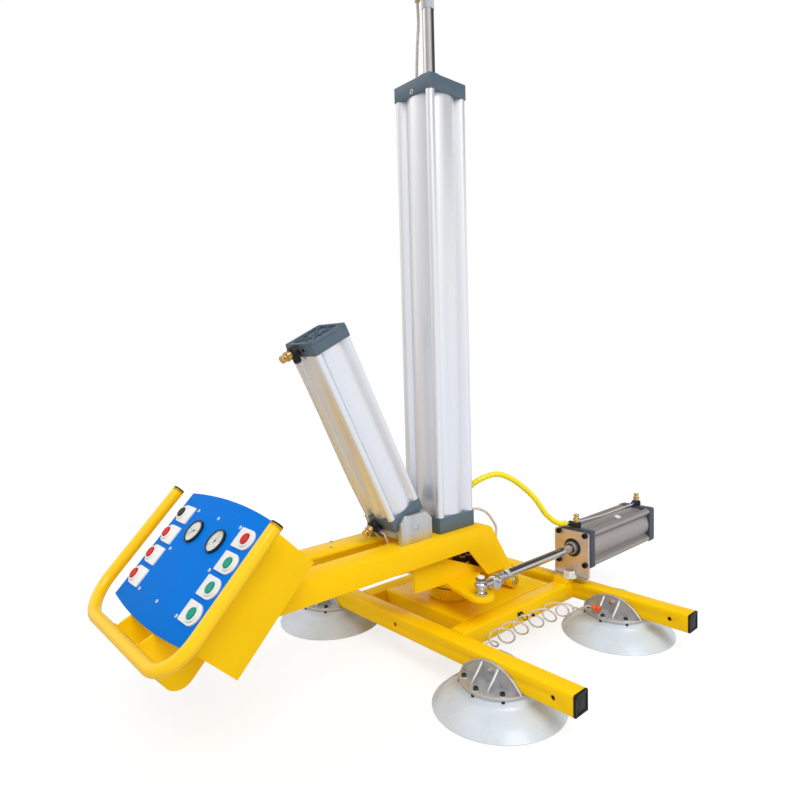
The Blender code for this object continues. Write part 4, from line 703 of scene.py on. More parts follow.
def light_scene(scene):
    """A soft sky, a white view, and a room with darker bands that only shiny pieces mirror."""
    scene.view_settings.view_transform = "Standard"
    world = bpy.data.worlds.new("studio")
    scene.world = world
    world.use_nodes = True
    tree = world.node_tree
    tree.nodes.clear()
    rays = tree.nodes.new("ShaderNodeLightPath").outputs
    direction = add_node(tree, "TexCoord", {}, "Generated")
    apart = add_node(tree, "SeparateXYZ", {"Vector": direction}).node.outputs
    height = add_range(tree, apart["Z"], -1)
    room = add_ramp(tree, height, shaded(((0.0, 0.42), (0.4, 0.5), (0.47, 1.0), (0.62, 1.0), (0.69, 0.12),
        (0.88, 0.1), (0.94, 1.0)), (1, 0.985, 0.98)))
    side = add_ramp(tree, add_range(tree, apart["Y"], -1), shaded(((0.0, 0.6), (0.13, 0.7), (0.22, 1.0),
        (0.5, 1.0), (0.56, 0.45), (0.64, 1.0)), (1, 0.97, 0.95)))
    behind = add_range(tree, apart["Y"], 0.1, 0.4)
    mirrored = add_mix(tree, behind, side, room, "MULTIPLY")
    seen = add_mix(tree, rays["Is Glossy Ray"], (1, 1, 1, 1), mirrored)
    sky = add_ramp(tree, height, ((0.35, (0.62, 0.63, 0.65)), (0.95, (1, 1, 1))))
    soft = add_node(tree, "Background", {"Color": sky, "Strength": 0.68})
    white = add_node(tree, "Background", {"Color": seen, "Strength": 1})
    direct = rays["Is Camera Ray"]
    for kind in ("Is Glossy Ray", "Is Transmission Ray"):
        direct = add_node(tree, "Math", {0: direct, 1: rays[kind]}, operation="MAXIMUM")
    mix = add_node(tree, "MixShader", {"Fac": direct, 1: soft, 2: white})
    fill(tree, tree.nodes.new("ShaderNodeOutputWorld"), {"Surface": mix})
    for name, strength, spread, place in (
            ("key_light", 1.45, 35, (1.05, -0.32, 1.25)), ("side_light", 0.4, 50, (-0.7, -0.8, 1.0))):
        lamp = bpy.data.lights.new(name, "SUN")
        lamp.energy = strength
        lamp.angle = radians(spread)
        holder = bpy.data.objects.new(name, lamp)
        holder.rotation_mode = "QUATERNION"
        holder.rotation_quaternion = Vector(place).to_track_quat("Z", "Y")
        holder.location = Vector(place) * 3
        scene.collection.objects.link(holder)


def lay_floor():
    """A pale floor; shiny pieces alone see it warm on the left and cool on the right, a painted reflection.
    """
    mesh = bpy.data.meshes.new("floor")
    r = FLOOR_REACH
    mesh.from_pydata([(-r, -r, 0), (r, -r, 0), (r, r, 0), (-r, r, 0)], [], [(0, 1, 2, 3)])
    look = bpy.data.materials.new("pale_floor")
    look.use_nodes = True
    tree = look.node_tree
    rays = tree.nodes.new("ShaderNodeLightPath").outputs
    across = add_node(tree, "SeparateXYZ", {"Vector": add_node(tree, "TexCoord", {}, "Object")}, "X")
    # painted reflection: warm and cool tints that only glossy rays see
    painted_reflection_tints = add_mix(tree, add_range(tree, across, 0.1, 1.1), (0.6, 0.51, 0.41, 1), (0.76, 0.82, 0.93, 1))
    tint = add_mix(tree, rays["Is Glossy Ray"], (0.78, 0.78, 0.78, 1), painted_reflection_tints)
    shader = tree.nodes["Principled BSDF"]
    fill(tree, shader, {"Base Color": tint, "Roughness": 0.9, "Specular IOR Level": 0.0})
    soft = add_node(tree, "BsdfDiffuse", {"Color": (0.3, 0.3, 0.3, 1)})
    glow = add_node(tree, "Emission", {"Color": (0.74, 0.74, 0.74, 1), "Strength": 1})
    both = add_node(tree, "AddShader", {0: soft, 1: glow})
    mix = add_node(tree, "MixShader", {"Fac": rays["Is Camera Ray"], 1: shader.outputs["BSDF"], 2: both})
    fill(tree, tree.nodes["Material Output"], {"Surface": mix})
    mesh.materials.append(look)
    floor = bpy.data.objects.new("floor", mesh)
    bpy.context.scene.collection.objects.link(floor)


class LIFTER_OT_hoses(bpy.types.Operator):
    """Makes the wrapped bundle, the drain and supply hoses and the coiled hose of the pads"""
    bl_idname = "lifter.hoses"
    bl_label = "Hoses"

    def execute(self, context):
        sizes = context.scene.lifter_sizes
        make_wrapped_hose(sizes.wrap)
        air_hose("drain_hose_clear", [hoist_point(*p) for p in DRAIN_ROUTE], sizes.hose, "carrier", 24,
            replaces=("drain_hose",))
        make_supply_hose(sizes.hose)
        make_coiled_hose(sizes)
        return {"FINISHED"}


def make_wrapped_hose(diameter):
    """The bundle in its spiral wrap: the tape bulges, and a dark seam runs round between its turns."""
    route = [hoist_point(*p) for p in WRAP_ROUTE]
    seam = 0.0013

    def tape(distance, angle):
        bulge = sin(pi * ((distance / WRAP_LAND - angle / tau) % 1))
        return diameter / 2 - seam * (1 - min(1, bulge * 3.2)) - 0.0003 * (1 - bulge)

    hose = Piece().add(swept(smooth_path(route, 700), tape, 28),
        "yellow_wrap").dress("wrapped_hose", "_bundle", "carrier", sharp=70)
    hose.parent = None
    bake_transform(hose)


def make_supply_hose(diameter):
    route = [hoist_point(*p) for p in FEED_ROUTE]
    path = smooth_path(route, 18)
    end = path[-1]
    coupling = Piece()
    coupling.add(turned([(0.0041, -0.004), (0.0072, -0.004), (0.0078, -0.002), (0.0078, 0.006),
        (0.0062, 0.008), (0.0062, 0.014), (0.009, 0.0155), (0.009, 0.0215), (0.0076, 0.023), (0, 0.023),
        (0, 0.001), (0.0041, 0.001)], 28), "brass", Matrix.Translation(end))
    coupling.add(hexagon(0.0096, end + up(0.007), end + up(0.0135)), "brass")
    fitting = coupling.make("supply_hose_coupling", "carrier")
    gland = Piece()
    low = hoist_point(-0.05, 0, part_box("hoist_cap_top")[1].z - 0.012)
    gland.add(hexagon(0.0085, low + up(-0.0005), low + up(0.006)), "brass")
    gland.add(rod(0.0072, low + up(0.005), low + up(0.013), 24, 0.0012), "black_plastic")
    gland.make("supply_hose_gland", "carrier")
    hose = Piece().add(swept(smooth_path(route, 60), diameter / 2, 16), "clear_hose").make("supply_hose",
        "carrier", replaces=("feed_hose",), sharp=70)


def make_coiled_hose(sizes):
    """The clear coiled hose along the pad frame, between the fittings of the two right-hand pads."""
    spine = smooth_path([hoist_point(*p) for p in COIL_ROUTE], int(COIL_TURNS * POINTS_A_TURN) + 1)
    frames = carried_frames(spine)
    path = []
    count = len(frames)
    for i, (point, tangent, side, rise) in enumerate(frames):
        share = i / (count - 1)
        grow = min(1, 7 * share, 7 * (1 - share))
        angle = tau * COIL_TURNS * (share + 0.03 * sin(tau * share) + 0.008 * sin(5 * tau * share)) + pi / 3
        wobble = 1 + 0.08 * sin(4.3 * share * tau)
        spread = (side * cos(angle) + (rise - tangent * COIL_SLANT) * sin(angle)) * sizes.coil * grow * wobble
        path.append(point + COIL_CLEAR * grow + spread)
    fine = smooth_path(path, count * 3)
    hose = Piece().add(swept(fine, sizes.thin_hose / 2, 12), "clear_hose").make("coiled_pad_hose",
        "pad_carriage", replaces=("coil_hose",), sharp=70)
    at = int(count * 0.47)
    sleeve = Piece().add(rod(sizes.thin_hose * 0.8, path[at], path[at + 1], 20, 0.0006),
        "black_plastic").make("coiled_hose_sleeve", "pad_carriage")


class LIFTER_OT_pad_frame(bpy.types.Operator):
    """Paints the welded tube frame and makes its moulded end caps"""
    bl_idname = "lifter.pad_frame"
    bl_label = "Pad frame"

    def execute(self, context):
        edge = context.scene.lifter_sizes.edge
        for node in ("pad_beam_front", "pad_beam_rear", "cross_tube_left", "cross_tube_right",
                "turntable_carriage"):
            paint_node(node, "_painted", "pad_carriage", edge * 0.6, sharp=38)
        for name in ("front_left", "front_right", "rear_left", "rear_right"):
            make_end_cap(name)
        return {"FINISHED"}


def make_end_cap(name):
    """A moulded plug in the end of a beam: its plate, the part inside the tube and a raised rim."""
    node = "end_cap_" + name
    low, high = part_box(node)
    side = 1 if high.x > 0 else -1
    reach = max(abs(low.x), abs(high.x))
    piece = Piece()

    def add_plate(inner, outer, low_y, low_z, high_y, high_z, edge, corner=0.0):
        near, far = sorted((side * inner, side * outer))
        piece.add(block((near, low_y, low_z), (far, high_y, high_z), edge, corner, "x"), "black_plastic")

    add_plate(reach - 0.004, reach, low.y, low.z, high.y, high.z, 0.0012, 0.005)
    inset, border, rim = 0.0046, 0.0015, 0.0045
    add_plate(reach - 0.02, reach - 0.002, low.y + inset, low.z + inset, high.y - inset, high.z - inset,
        0.001)
    front, back, foot, top = low.y + border, high.y - border, low.z + border, high.z - border
    for y in (front, back - rim):
        add_plate(reach - 0.001, reach + 0.0014, y, foot, y + rim, top, 0.0005, border)
    for z in (foot, top - rim):
        add_plate(reach - 0.001, reach + 0.0014, front, z, back, z + rim, 0.0005, border)
    piece.dress(node, "_moulded", "pad_carriage")


class LIFTER_OT_pads(bpy.types.Operator):
    """Makes the four suction cups, their cast mounts and the fittings on them"""
    bl_idname = "lifter.pads"
    bl_label = "Suction pads"

    def execute(self, context):
        for name in ("front_right", "front_left", "rear_right", "rear_left"):
            make_suction_cup(name)
            make_pad_mount(name)
        make_pad_fittings(context.scene.lifter_sizes.thin_hose)
        return {"FINISHED"}


def make_suction_cup(name):
    """A rubber cup: flat crown, shoulder with a raised ring, and a skirt down to the sealing lip."""
    node = "suction_cup_" + name
    middle, top = box_centre(node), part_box(node)[1].z
    skirt_x = (SHOULDER_RADIUS + LIP_RADIUS) / 2 + 0.004
    skirt_z = SHOULDER_HEIGHT * 0.58
    outside = [(0.0925, 0, top - 0.0035), (0.0975, 0, SHOULDER_HEIGHT + 0.0075),
        (SHOULDER_RADIUS - 0.001, 0, SHOULDER_HEIGHT + 0.001), (skirt_x - 0.012, 0, skirt_z + 0.0078),
        (skirt_x, 0, skirt_z), (LIP_RADIUS - 0.0008, 0, 0.003)]
    profile = [(0, top), (0.0895, top), (0.0912, top - 0.0006)] + [(p.x, p.z) for p in smooth_path(outside,
        26)]
    profile += [(LIP_RADIUS, 0.0016), (LIP_RADIUS - 0.0003, 0.0004), (LIP_RADIUS - 0.001, 0),
        (LIP_RADIUS - 0.005, 0), (LIP_RADIUS - 0.0062, 0.0008), (skirt_x - 0.006, skirt_z - 0.006),
        (0.09, SHOULDER_HEIGHT - 0.006), (0, SHOULDER_HEIGHT)]
    ring, foot = 0.1125, SHOULDER_HEIGHT - 0.0065
    piece = Piece().add(turned(profile, 96), "pad_rubber")
    piece.add(turned([(ring - 0.0022, foot), (ring + 0.0022, foot), (ring + 0.001, foot + 0.0046),
        (ring - 0.0012, foot + 0.0049)], 96), "pad_rubber")
    piece.dress(node, "_rubber", "pad_carriage", shift(middle.x, middle.y, 0))


def make_pad_mount(name):
    """A cast saddle under the beam: round flange, a rimmed half-moon with two ribs on each side, screws."""
    middle = box_centre("pad_mount_" + name)
    top = TUBE_BOTTOM - GAP
    low = top - MOUNT_FLANGE
    piece = Piece()
    piece.add(turned([(0, low), (MOUNT_RADIUS - 0.002, low), (MOUNT_RADIUS - 0.0006, low + 0.0008),
        (MOUNT_RADIUS, low + 0.0022), (MOUNT_RADIUS, top - 0.002), (MOUNT_RADIUS - 0.0008, top - 0.0006),
        (MOUNT_RADIUS - 0.0024, top), (MOUNT_RADIUS - 0.0052, top - 0.0004),
        (MOUNT_RADIUS - 0.0062, top - 0.0014), (0, top - 0.0014)], 72), "cast_aluminium")
    piece.add(washer(0.07, 0.0905, low - 0.0006, low + 0.001, 72), "black_plastic")
    inner = TUBE / 2 + GAP
    reach = sqrt(MOUNT_RADIUS ** 2 - (inner + MOUNT_CHEEK) ** 2)
    bow = (reach ** 2 + MOUNT_RISE ** 2) / (2 * MOUNT_RISE)
    half = 90 - asin(reach / bow) * 180 / pi
    centre = (0, top + MOUNT_RISE - bow)
    crest = arc(centre, bow, half, 180 - half, 28)
    upright = Matrix(((1, 0, 0), (0, 0, 1), (0, 1, 0))).to_4x4()
    for side in (-1, 1):
        near, far = sorted((side * inner, side * (inner + MOUNT_CHEEK)))
        outline = [(reach, low + 0.004)] + crest + [(-reach, low + 0.004)]
        piece.add(slab(outline, near, far, 0.0008, upright), "cast_aluminium")
        face = side * (inner + MOUNT_CHEEK)
        rim = [Vector((u * 0.985, face, v - 0.0022)) for u, v in crest]
        piece.add(swept(rim, 0.0026, 10), "cast_aluminium")
        for rib_x in (-MOUNT_RIB_X, MOUNT_RIB_X):
            piece.add(mount_rib(rib_x, face, side, top), "cast_aluminium")
        pin = Vector((0, face, BEAM_CENTRE_Z))
        out = Vector((0, side, 0))
        piece.add(rod(0.0096, pin - out * 0.001, pin + out * 0.0022, 32, 0.0006), "cast_aluminium")
        piece.add(rod(0.0056, pin, pin + out * 0.0062, 24, 0.001), "zinc_steel")
        for angle in (45, 90, 135):
            spot = Vector((cos(radians(angle)), side * sin(radians(angle)), 0)) * SCREW_CIRCLE
            boss = spot + up(top - 0.002)
            piece.add(rod(0.0092, boss, boss + up(0.0026), 28, 0.0007), "cast_aluminium")
            socket_screw(piece, boss + up(0.0024), (0, 0, 1), 0.006, 0.0055)
            stud = spot * 1.13 + up(low)
            piece.add(rod(0.0042, stud - up(0.003), stud + up(0.002), 12), "black_plastic")
    piece.make("pad_mount_" + name + "_cast", "pad_carriage", shift(middle.x, middle.y, 0),
        ("pad_mount_" + name,))


def mount_rib(x, face, side, top):
    """A rib that is thick and deep at the flange and dies out near the top of the cheek."""
    foot = sqrt(MOUNT_RADIUS ** 2 - x ** 2) * 0.8 * side
    back = face - side * 0.002
    levels = ((top - 0.003, foot, 0.0036), (top + 0.0045, foot - side * 0.003, 0.0035),
        (top + MOUNT_RISE * 0.44, face + (foot - face) * 0.47, 0.0034),
        (top + MOUNT_RISE * 0.86, face + side * 0.0015, 0.0032))
    return loft([[(x - half * 1.25, back, z), (x + half * 1.25, back, z), (x + half, out - side * 0.002, z),
        (x + half * 0.5, out, z), (x - half * 0.5, out, z), (x - half, out - side * 0.002, z)]
        for z, out, half in levels])


def make_pad_fittings(thin):
    """Push-in fittings on the mounts, and the leads from the right-hand ones to the coiled hose."""
    for name, place, out, look, ring, lead in (
            ("rear_right", (0.318, 0.316, 0.0735), (-0.85, -0.45, 0.12), "orange_plastic", "orange_plastic",
             (-1, 0.62, -0.006, (0, 0.01, -0.002))),
            ("front_right", (0.314, -0.106, 0.08), (-0.8, 0.6, 0.0), "cast_aluminium", "black_plastic",
             (0, 0.6, -0.004, (0, -0.01, 0.001))),
            ("front_left", (-0.352, -0.212, 0.0735), (0.6, -0.7, 0.25), "blue_plastic", "black_plastic",
             None),
            ("rear_left", (-0.318, 0.316, 0.0735), (0.85, -0.45, 0.12), "cast_aluminium", "black_plastic",
             None)):
        seat = hoist_point(*place)
        out = Vector(out).normalized()
        middle = seat + up(0.0062)
        piece = Piece()
        piece.add(hexagon(0.0085, seat - up(0.009), seat + up(0.001)), "zinc_steel")
        piece.add(turned([(0, -0.001), (0.0078, -0.001), (0.0086, 0.0002), (0.0086, 0.012),
            (0.0074, 0.0135), (0, 0.0135)], 24), look, shift(*seat))
        piece.add(rod(0.0068, middle, middle + out * 0.0165, 24, 0.0008), look)
        piece.add(rod(0.0056, middle + out * 0.016, middle + out * 0.019, 24, 0.0005), ring)
        piece.make("pad_fitting_" + name, "pad_carriage")
        if lead:
            which, share, sag, entry = lead
            start = middle + out * 0.018
            end = hoist_point(*COIL_ROUTE[which])
            air_hose("pad_lead_" + name, [start, start + out * 0.014, start.lerp(end, share) + up(sag),
                end + Vector(entry), end], thin, "pad_carriage", 16)
    make_hose_clip()


def make_hose_clip():
    """The clip that ties the coiled hose to the cross tube."""
    seat = hoist_point(0, 0.095, 0.097)
    seat.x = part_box("cross_tube_right")[1].x
    clip = Piece()
    clip.add(block(seat + Vector((-0.0005, -0.009, -0.007)), seat + Vector((0.006, 0.009, 0.007)), 0.0015),
        "black_plastic")
    socket_screw(clip, seat + Vector((0.0055, 0, 0)), (1, 0, 0), 0.0036, 0.003, "zinc_steel")
    loop = [seat + Vector((0.006 + 0.0085 * (1 - cos(tau * i / 24)), 0.004,
        -0.0085 * sin(tau * i / 24) - 0.004)) for i in range(23)]
    clip.add(swept(loop, 0.0013, 8), "black_plastic")
    clip.make("coiled_hose_clip", "pad_carriage")


class LIFTER_OT_turntable(bpy.types.Operator):
    """Makes the two bearing rings under the tilt bracket with their bolts"""
    bl_idname = "lifter.turntable"
    bl_label = "Turntable"

    def execute(self, context):
        for node, body in (("slew_ring_lower", "pad_carriage"), ("slew_ring_upper", "tilt_frame")):
            low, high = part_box(node)
            centre = (low + high) / 2
            piece = Piece()
            radius = (high.x - low.x) / 2
            bore = 0.03
            if node == "slew_ring_lower":
                shelf = low.z + 0.034
                profile = [(bore, low.z), (radius - 0.0008, low.z), (radius, low.z + 0.0008),
                    (radius, low.z + 0.0098), (radius - 0.004, low.z + 0.013), (radius - 0.004, shelf),
                    (0.04, shelf), (0.04, high.z), (bore, high.z)]
            else:
                profile = [(0.0406, low.z), (radius - 0.004, low.z), (radius, low.z + 0.004),
                    (radius, high.z - 0.0008), (radius - 0.0008, high.z), (bore, high.z),
                    (bore, low.z + 0.024), (0.0406, low.z + 0.024)]
            piece.add(turned(profile, 72), "yellow_paint")
            if node == "slew_ring_upper":
                piece.add(washer(radius - 0.01, radius - 0.0026, low.z - 0.0016, low.z + 0.0012, 72),
                    "dark_steel")
            for i in range(12):
                angle = tau * (i + 0.5) / 12
                out = Vector((cos(angle), sin(angle), 0))
                height = low.z + 0.005 if node == "slew_ring_lower" else high.z - 0.006
                spot = out * (radius - 0.0006) + up(height)
                piece.add(rod(0.0026, spot, spot + out * 0.0014, 12, 0.0004), "zinc_steel")
            piece.dress(node, "_painted", body, shift(centre.x, centre.y, 0))
        make_junction_block()
        return {"FINISHED"}


def make_junction_block():
    """The black air junction on the bracket's base plate, glimpsed between the arm and the bracket."""
    foot = hoist_point(0.026, 0.078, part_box("slew_ring_upper")[1].z + 0.0095)
    piece = Piece()
    piece.add(block((-0.024, -0.034, 0), (0.024, 0.034, 0.034), 0.0015, 0.003), "black_plastic",
        Matrix.Translation(foot))
    for y in (-0.018, 0.008):
        spot = foot + Vector((0.004, y, 0.034))
        piece.add(hexagon(0.01, spot - up(0.001), spot + up(0.005)), "bronze")
        piece.add(rod(0.0082, spot + up(0.0045), spot + up(0.015), 28, 0.0012), "black_plastic")
    port = foot + Vector((0.024, -0.024, 0.022))
    piece.add(rod(0.0068, port - Vector((0.001, 0, 0)), port + Vector((0.008, 0, 0)), 24, 0.0008),
        "zinc_steel")
    piece.make("junction_block", "tilt_frame")


class LIFTER_OT_arm(bpy.types.Operator):
    """Paints the folded arm and the tilt bracket, and makes the hinge pin and trunnion ears"""
    bl_idname = "lifter.arm"
    bl_label = "Arm and bracket"

    def execute(self, context):
        edge = context.scene.lifter_sizes.edge
        paint_node("arm", "_painted", "carrier", edge)
        paint_node("tilt_bracket", "_painted", "tilt_frame", edge)
        make_hinge_pin()
        for name in ("right", "left"):
            make_trunnion_ear(name)
        make_arm_screws()
        return {"FINISHED"}


def make_hinge_pin():
    low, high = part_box("hinge_pin")
    centre = (low + high) / 2
    radius = (high.z - low.z) / 2
    piece = Piece()
    piece.add(rod(radius, (low.x, centre.y, centre.z), (high.x, centre.y, centre.z), 40, 0.0012),
        "zinc_steel")
    for side, end in ((-1, low.x), (1, high.x)):
        seat = Vector((end - side * 0.0004, centre.y, centre.z))
        piece.add(washer(0.0062, 0.0072, 0, 0.001, 32), "dark_steel",
            along(seat, seat + Vector((side, 0, 0))))
        ring = Vector((side * 0.1152, centre.y, centre.z))
        piece.add(washer(radius + 0.0002, radius + 0.0034, -0.001, 0.0008, 40), "zinc_steel",
            along(ring, ring + Vector((side, 0, 0))))
    piece.dress("hinge_pin", "_plated", "carrier")


def make_trunnion_ear(name):
    node = "trunnion_ear_" + name
    low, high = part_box(node)
    side = 1 if high.x > 0 else -1
    piece = Piece()
    chamfer = 0.02
    outline = [(low.y, low.z), (high.y, low.z), (high.y, high.z - chamfer), (high.y - chamfer, high.z),
        (low.y + chamfer, high.z), (low.y, high.z - chamfer)]
    piece.add(slab(outline, low.x, high.x, 0.0009, SIDE_VIEW), "bare_aluminium")
    axis = TILT_PLACE.translation
    face = high.x if side > 0 else low.x
    seat = Vector((face, axis.y, axis.z))
    out = Vector((side, 0, 0))
    piece.add(washer(0.0104, 0.0122, -0.001, 0.0004, 40), "bare_aluminium", along(seat, seat + out))
    piece.add(turned([(0, -0.002), (0.0102, -0.002), (0.0102, 0.0001), (0.0086, 0.0006), (0.003, 0.0006),
        (0.0018, -0.0008), (0, -0.0008)], 40), "zinc_steel", along(seat, seat + out))
    piece.dress(node, "_milled", "carrier")


def make_arm_screws():
    """Small screws on the strip of the arm's top beside the slot."""
    piece = Piece()
    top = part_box("arm")[1].z
    for x, y in ((-0.099, -0.314), (-0.059, -0.344)):
        seat = hoist_point(x, y, 0)
        seat.z = top - 0.0003
        piece.add(turned([(0, 0), (0.0052, 0), (0.005, 0.0012), (0.0034, 0.0024), (0, 0.0028)], 24),
            "zinc_steel", Matrix.Translation(seat))
        # dark bar across each head: painted shade of its slot
        piece.add(block(seat + Vector((-0.0037, -0.0004, 0.0018)), seat + Vector((0.0037, 0.0004, 0.0029))),
            "dark_steel")
    piece.make("arm_top_screws", "carrier")


def barrel_outline(skin, corner, rib):
    """Round skin with a round rib at each corner, and a fine groove on both sides of each rib."""
    centre = (corner - rib) * sqrt(2)
    half = asin(rib / centre)
    floor = skin - 0.0016
    points = []
    for quarter in range(4):
        middle = pi / 4 + quarter * pi / 2
        for i in range(-8, 9):
            angle = half * i / 8 * 0.995
            reach = centre * cos(angle) + sqrt(max(rib ** 2 - (centre * sin(angle)) ** 2, 0))
            points.append((reach, middle + angle))
        start, end = middle + half, middle + pi / 2 - half
        points.append((floor, start + 0.004))
        points += [(skin, start + 0.03 + (end - start - 0.06) * i / 16) for i in range(17)]
        points.append((floor, end - 0.004))
    return [(reach * cos(angle), reach * sin(angle)) for reach, angle in points]


def make_barrel(node, body, place, low, high, skin, corner, rib, look="anodised"):
    piece = Piece().add(slab(barrel_outline(skin, corner, rib), low, high), look)
    piece.dress(node, "_extrusion", body, place, sharp=40)


def local_span(node, place):
    """Lowest and highest corner of a node in the local axes of a place."""
    inverse = place.inverted()
    points = [inverse @ vertex.co for vertex in frame["nodes"][node].data.vertices]
    return [Vector([limit(p[i] for p in points) for i in range(3)]) for limit in (min, max)]


def make_small_rod(node, body, place, tip):
    """A chromed rod with its piston; tip has the outline of its free end, counted from there."""
    low, high = local_span(node, place)
    outline = [(0, low.z)] + [(radius, low.z + height) for radius, height in tip]
    outline += [(ROD, high.z - PISTON), (BORE, high.z - PISTON), (BORE, high.z), (0, high.z)]
    Piece().add(turned(outline, 64), "chrome_steel").dress(node, "_chromed", body, place)


class LIFTER_OT_hoist_cylinder(bpy.types.Operator):
    """Makes the upright cylinder: barrel, caps, rod and the eye it hangs from"""
    bl_idname = "lifter.hoist_cylinder"
    bl_label = "Hoist cylinder"

    def execute(self, context):
        low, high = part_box("hoist_barrel")
        make_barrel("hoist_barrel", "carrier", HOIST_PLACE, low.z, high.z, HOIST_SKIN, HOIST_CAP, HOIST_RIB)
        self.make_bottom_cap(low.z)
        self.make_top_cap()
        self.make_rod()
        self.make_head()
        return {"FINISHED"}

    def make_bottom_cap(self, barrel_foot):
        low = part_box("hoist_cap_bottom")[0].z
        piece = Piece()
        half = HOIST_CAP
        plain_cap(piece, half, low, barrel_foot - GAP, "slate_paint")
        seat = Vector((0.03, half, 0.361))
        out = Vector((0, 1, 0))
        piece.add(hexagon(0.0092, seat - out * 0.002, seat + out * 0.005), "brass")
        piece.add(rod(0.0078, seat + out * 0.004, seat + out * 0.013, 24, 0.001), "black_plastic")
        piece.add(rod(0.0064, seat + out * 0.0125, seat + out * 0.016, 24, 0.0006), "violet_plastic")
        piece.dress("hoist_cap_bottom", "_cast", "carrier", HOIST_PLACE)

    def make_top_cap(self):
        low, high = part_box("hoist_cap_top")
        top = high.z - 0.012
        half = HOIST_CAP
        piece = Piece()
        plain_cap(piece, half, low.z, top, "slate_paint")
        rim = top + HOIST_COLLAR_RISE
        radius, mouth = HOIST_COLLAR, HOIST_ROD + 0.0012
        piece.add(turned([(mouth, top - 0.001), (radius + 0.003, top - 0.001),
            (radius + 0.0006, top + 0.0016), (radius, top + 0.004), (radius, rim - 0.0015),
            (radius - 0.0012, rim), (0.0222, rim), (0.0215, rim - 0.0015), (mouth, rim - 0.002)], 64),
            "slate_paint")
        piece.add(turned([(HOIST_ROD + 0.0002, rim - 0.008), (0.0216, rim - 0.008), (0.0216, rim - 0.0008),
            (mouth, rim), (HOIST_ROD + 0.0002, rim - 0.0008)], 48), "black_plastic")
        for x in (-1, 1):
            for y in (-1, 1):
                spot = Vector((x, y, 0)) * (HOIST_CAP - HOIST_RIB) + up(top)
                piece.add(washer(0.0062, 0.0088, -0.0004, 0.0004, 24), "dark_steel",
                    Matrix.Translation(spot))
                socket_screw(piece, spot - up(0.003), (0, 0, 1), 0.0062, 0.0032)
        port_hole(piece, Vector((0.001, -half, (low.z + top) / 2 - 0.01)), "zinc_steel", 0.0037, 0.0056,
            -0.0004, 0.0006, 0.0003)
        piece.dress("hoist_cap_top", "_cast", "carrier", HOIST_PLACE)

    def make_rod(self):
        low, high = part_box("hoist_rod")
        piston = 0.03
        bore = 0.0622
        piece = Piece().add(turned([(0, low.z), (bore, low.z), (bore, low.z + piston),
            (HOIST_ROD, low.z + piston), (HOIST_ROD, high.z - 0.003), (HOIST_ROD - 0.003, high.z),
            (0, high.z)], 72), "chrome_steel")
        piece.dress("hoist_rod", "_chromed", "hoist_lift", HOIST_PLACE)

    def make_head(self):
        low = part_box("hoist_head")[0].z
        block_foot = low + HOIST_NECK
        piece = Piece().add(from_node("hoist_head", 0.0012,
            lambda point: Vector((point.x, point.y, max(point.z, block_foot)))), "zinc_steel")
        inner = HOIST_ROD + 0.0002
        piece.add(turned([(inner, low), (inner + 0.0006, low), (inner + 0.0012, low + 0.001),
            (inner + 0.0012, block_foot - 0.003), (inner + 0.004, block_foot + 0.0005),
            (inner, block_foot + 0.0005)], 56), "zinc_steel", HOIST_PLACE)
        piece.dress("hoist_head", "_plated", "hoist_lift", sharp=30)


def recessed_cap(piece, low, high, look):
    """A cap whose end face has a recess, a ribbed cross, a hub ring and a screw in each corner."""
    half, wall, depth = CAP, 0.009, 0.006
    root = high - depth - 0.002
    plain_cap(piece, half, low, high - depth, look)
    for turn in range(4):
        place = Matrix.Rotation(turn * pi / 2, 4, "Z")
        piece.add(block((-half + CAP_CORNER, -half, high - depth - 0.003),
            (half - CAP_CORNER, -half + wall, high), 0.001), look, place)
        centre = half - 0.0105
        corner = turned([(0.0052, root), (0.0105, root), (0.0105, high - 0.0008), (0.0097, high),
            (0.006, high), (0.0052, high - 0.0008)], 32)
        piece.add(corner, look, place @ shift(centre, centre, 0))
        screw = place @ Vector((centre, centre, high - 0.0052))
        socket_screw(piece, screw, (0, 0, 1), 0.005, 0.0036)
        rib = place @ Matrix.Rotation(pi / 4, 4, "Z")
        piece.add(block((0.012, -0.0018, root), (half * 1.16, 0.0018, high - 0.0012), 0.0006), look, rib)
        piece.add(block((0.012, -0.0014, root), (half - 0.004, 0.0014, high - 0.0022), 0.0005), look, place)
    piece.add(turned([(0.0085, root), (0.017, root), (0.017, high - 0.0018), (0.0162, high - 0.0012),
        (0.014, high - 0.0012), (0.0132, high - 0.003), (0.0085, high - 0.003)], 48), look)


def plain_cap(piece, half, low, high, look):
    """A square block, the body of every cap."""
    piece.add(block((-half, -half, low), (half, half, high), CAP_EDGE, CAP_CORNER), look)


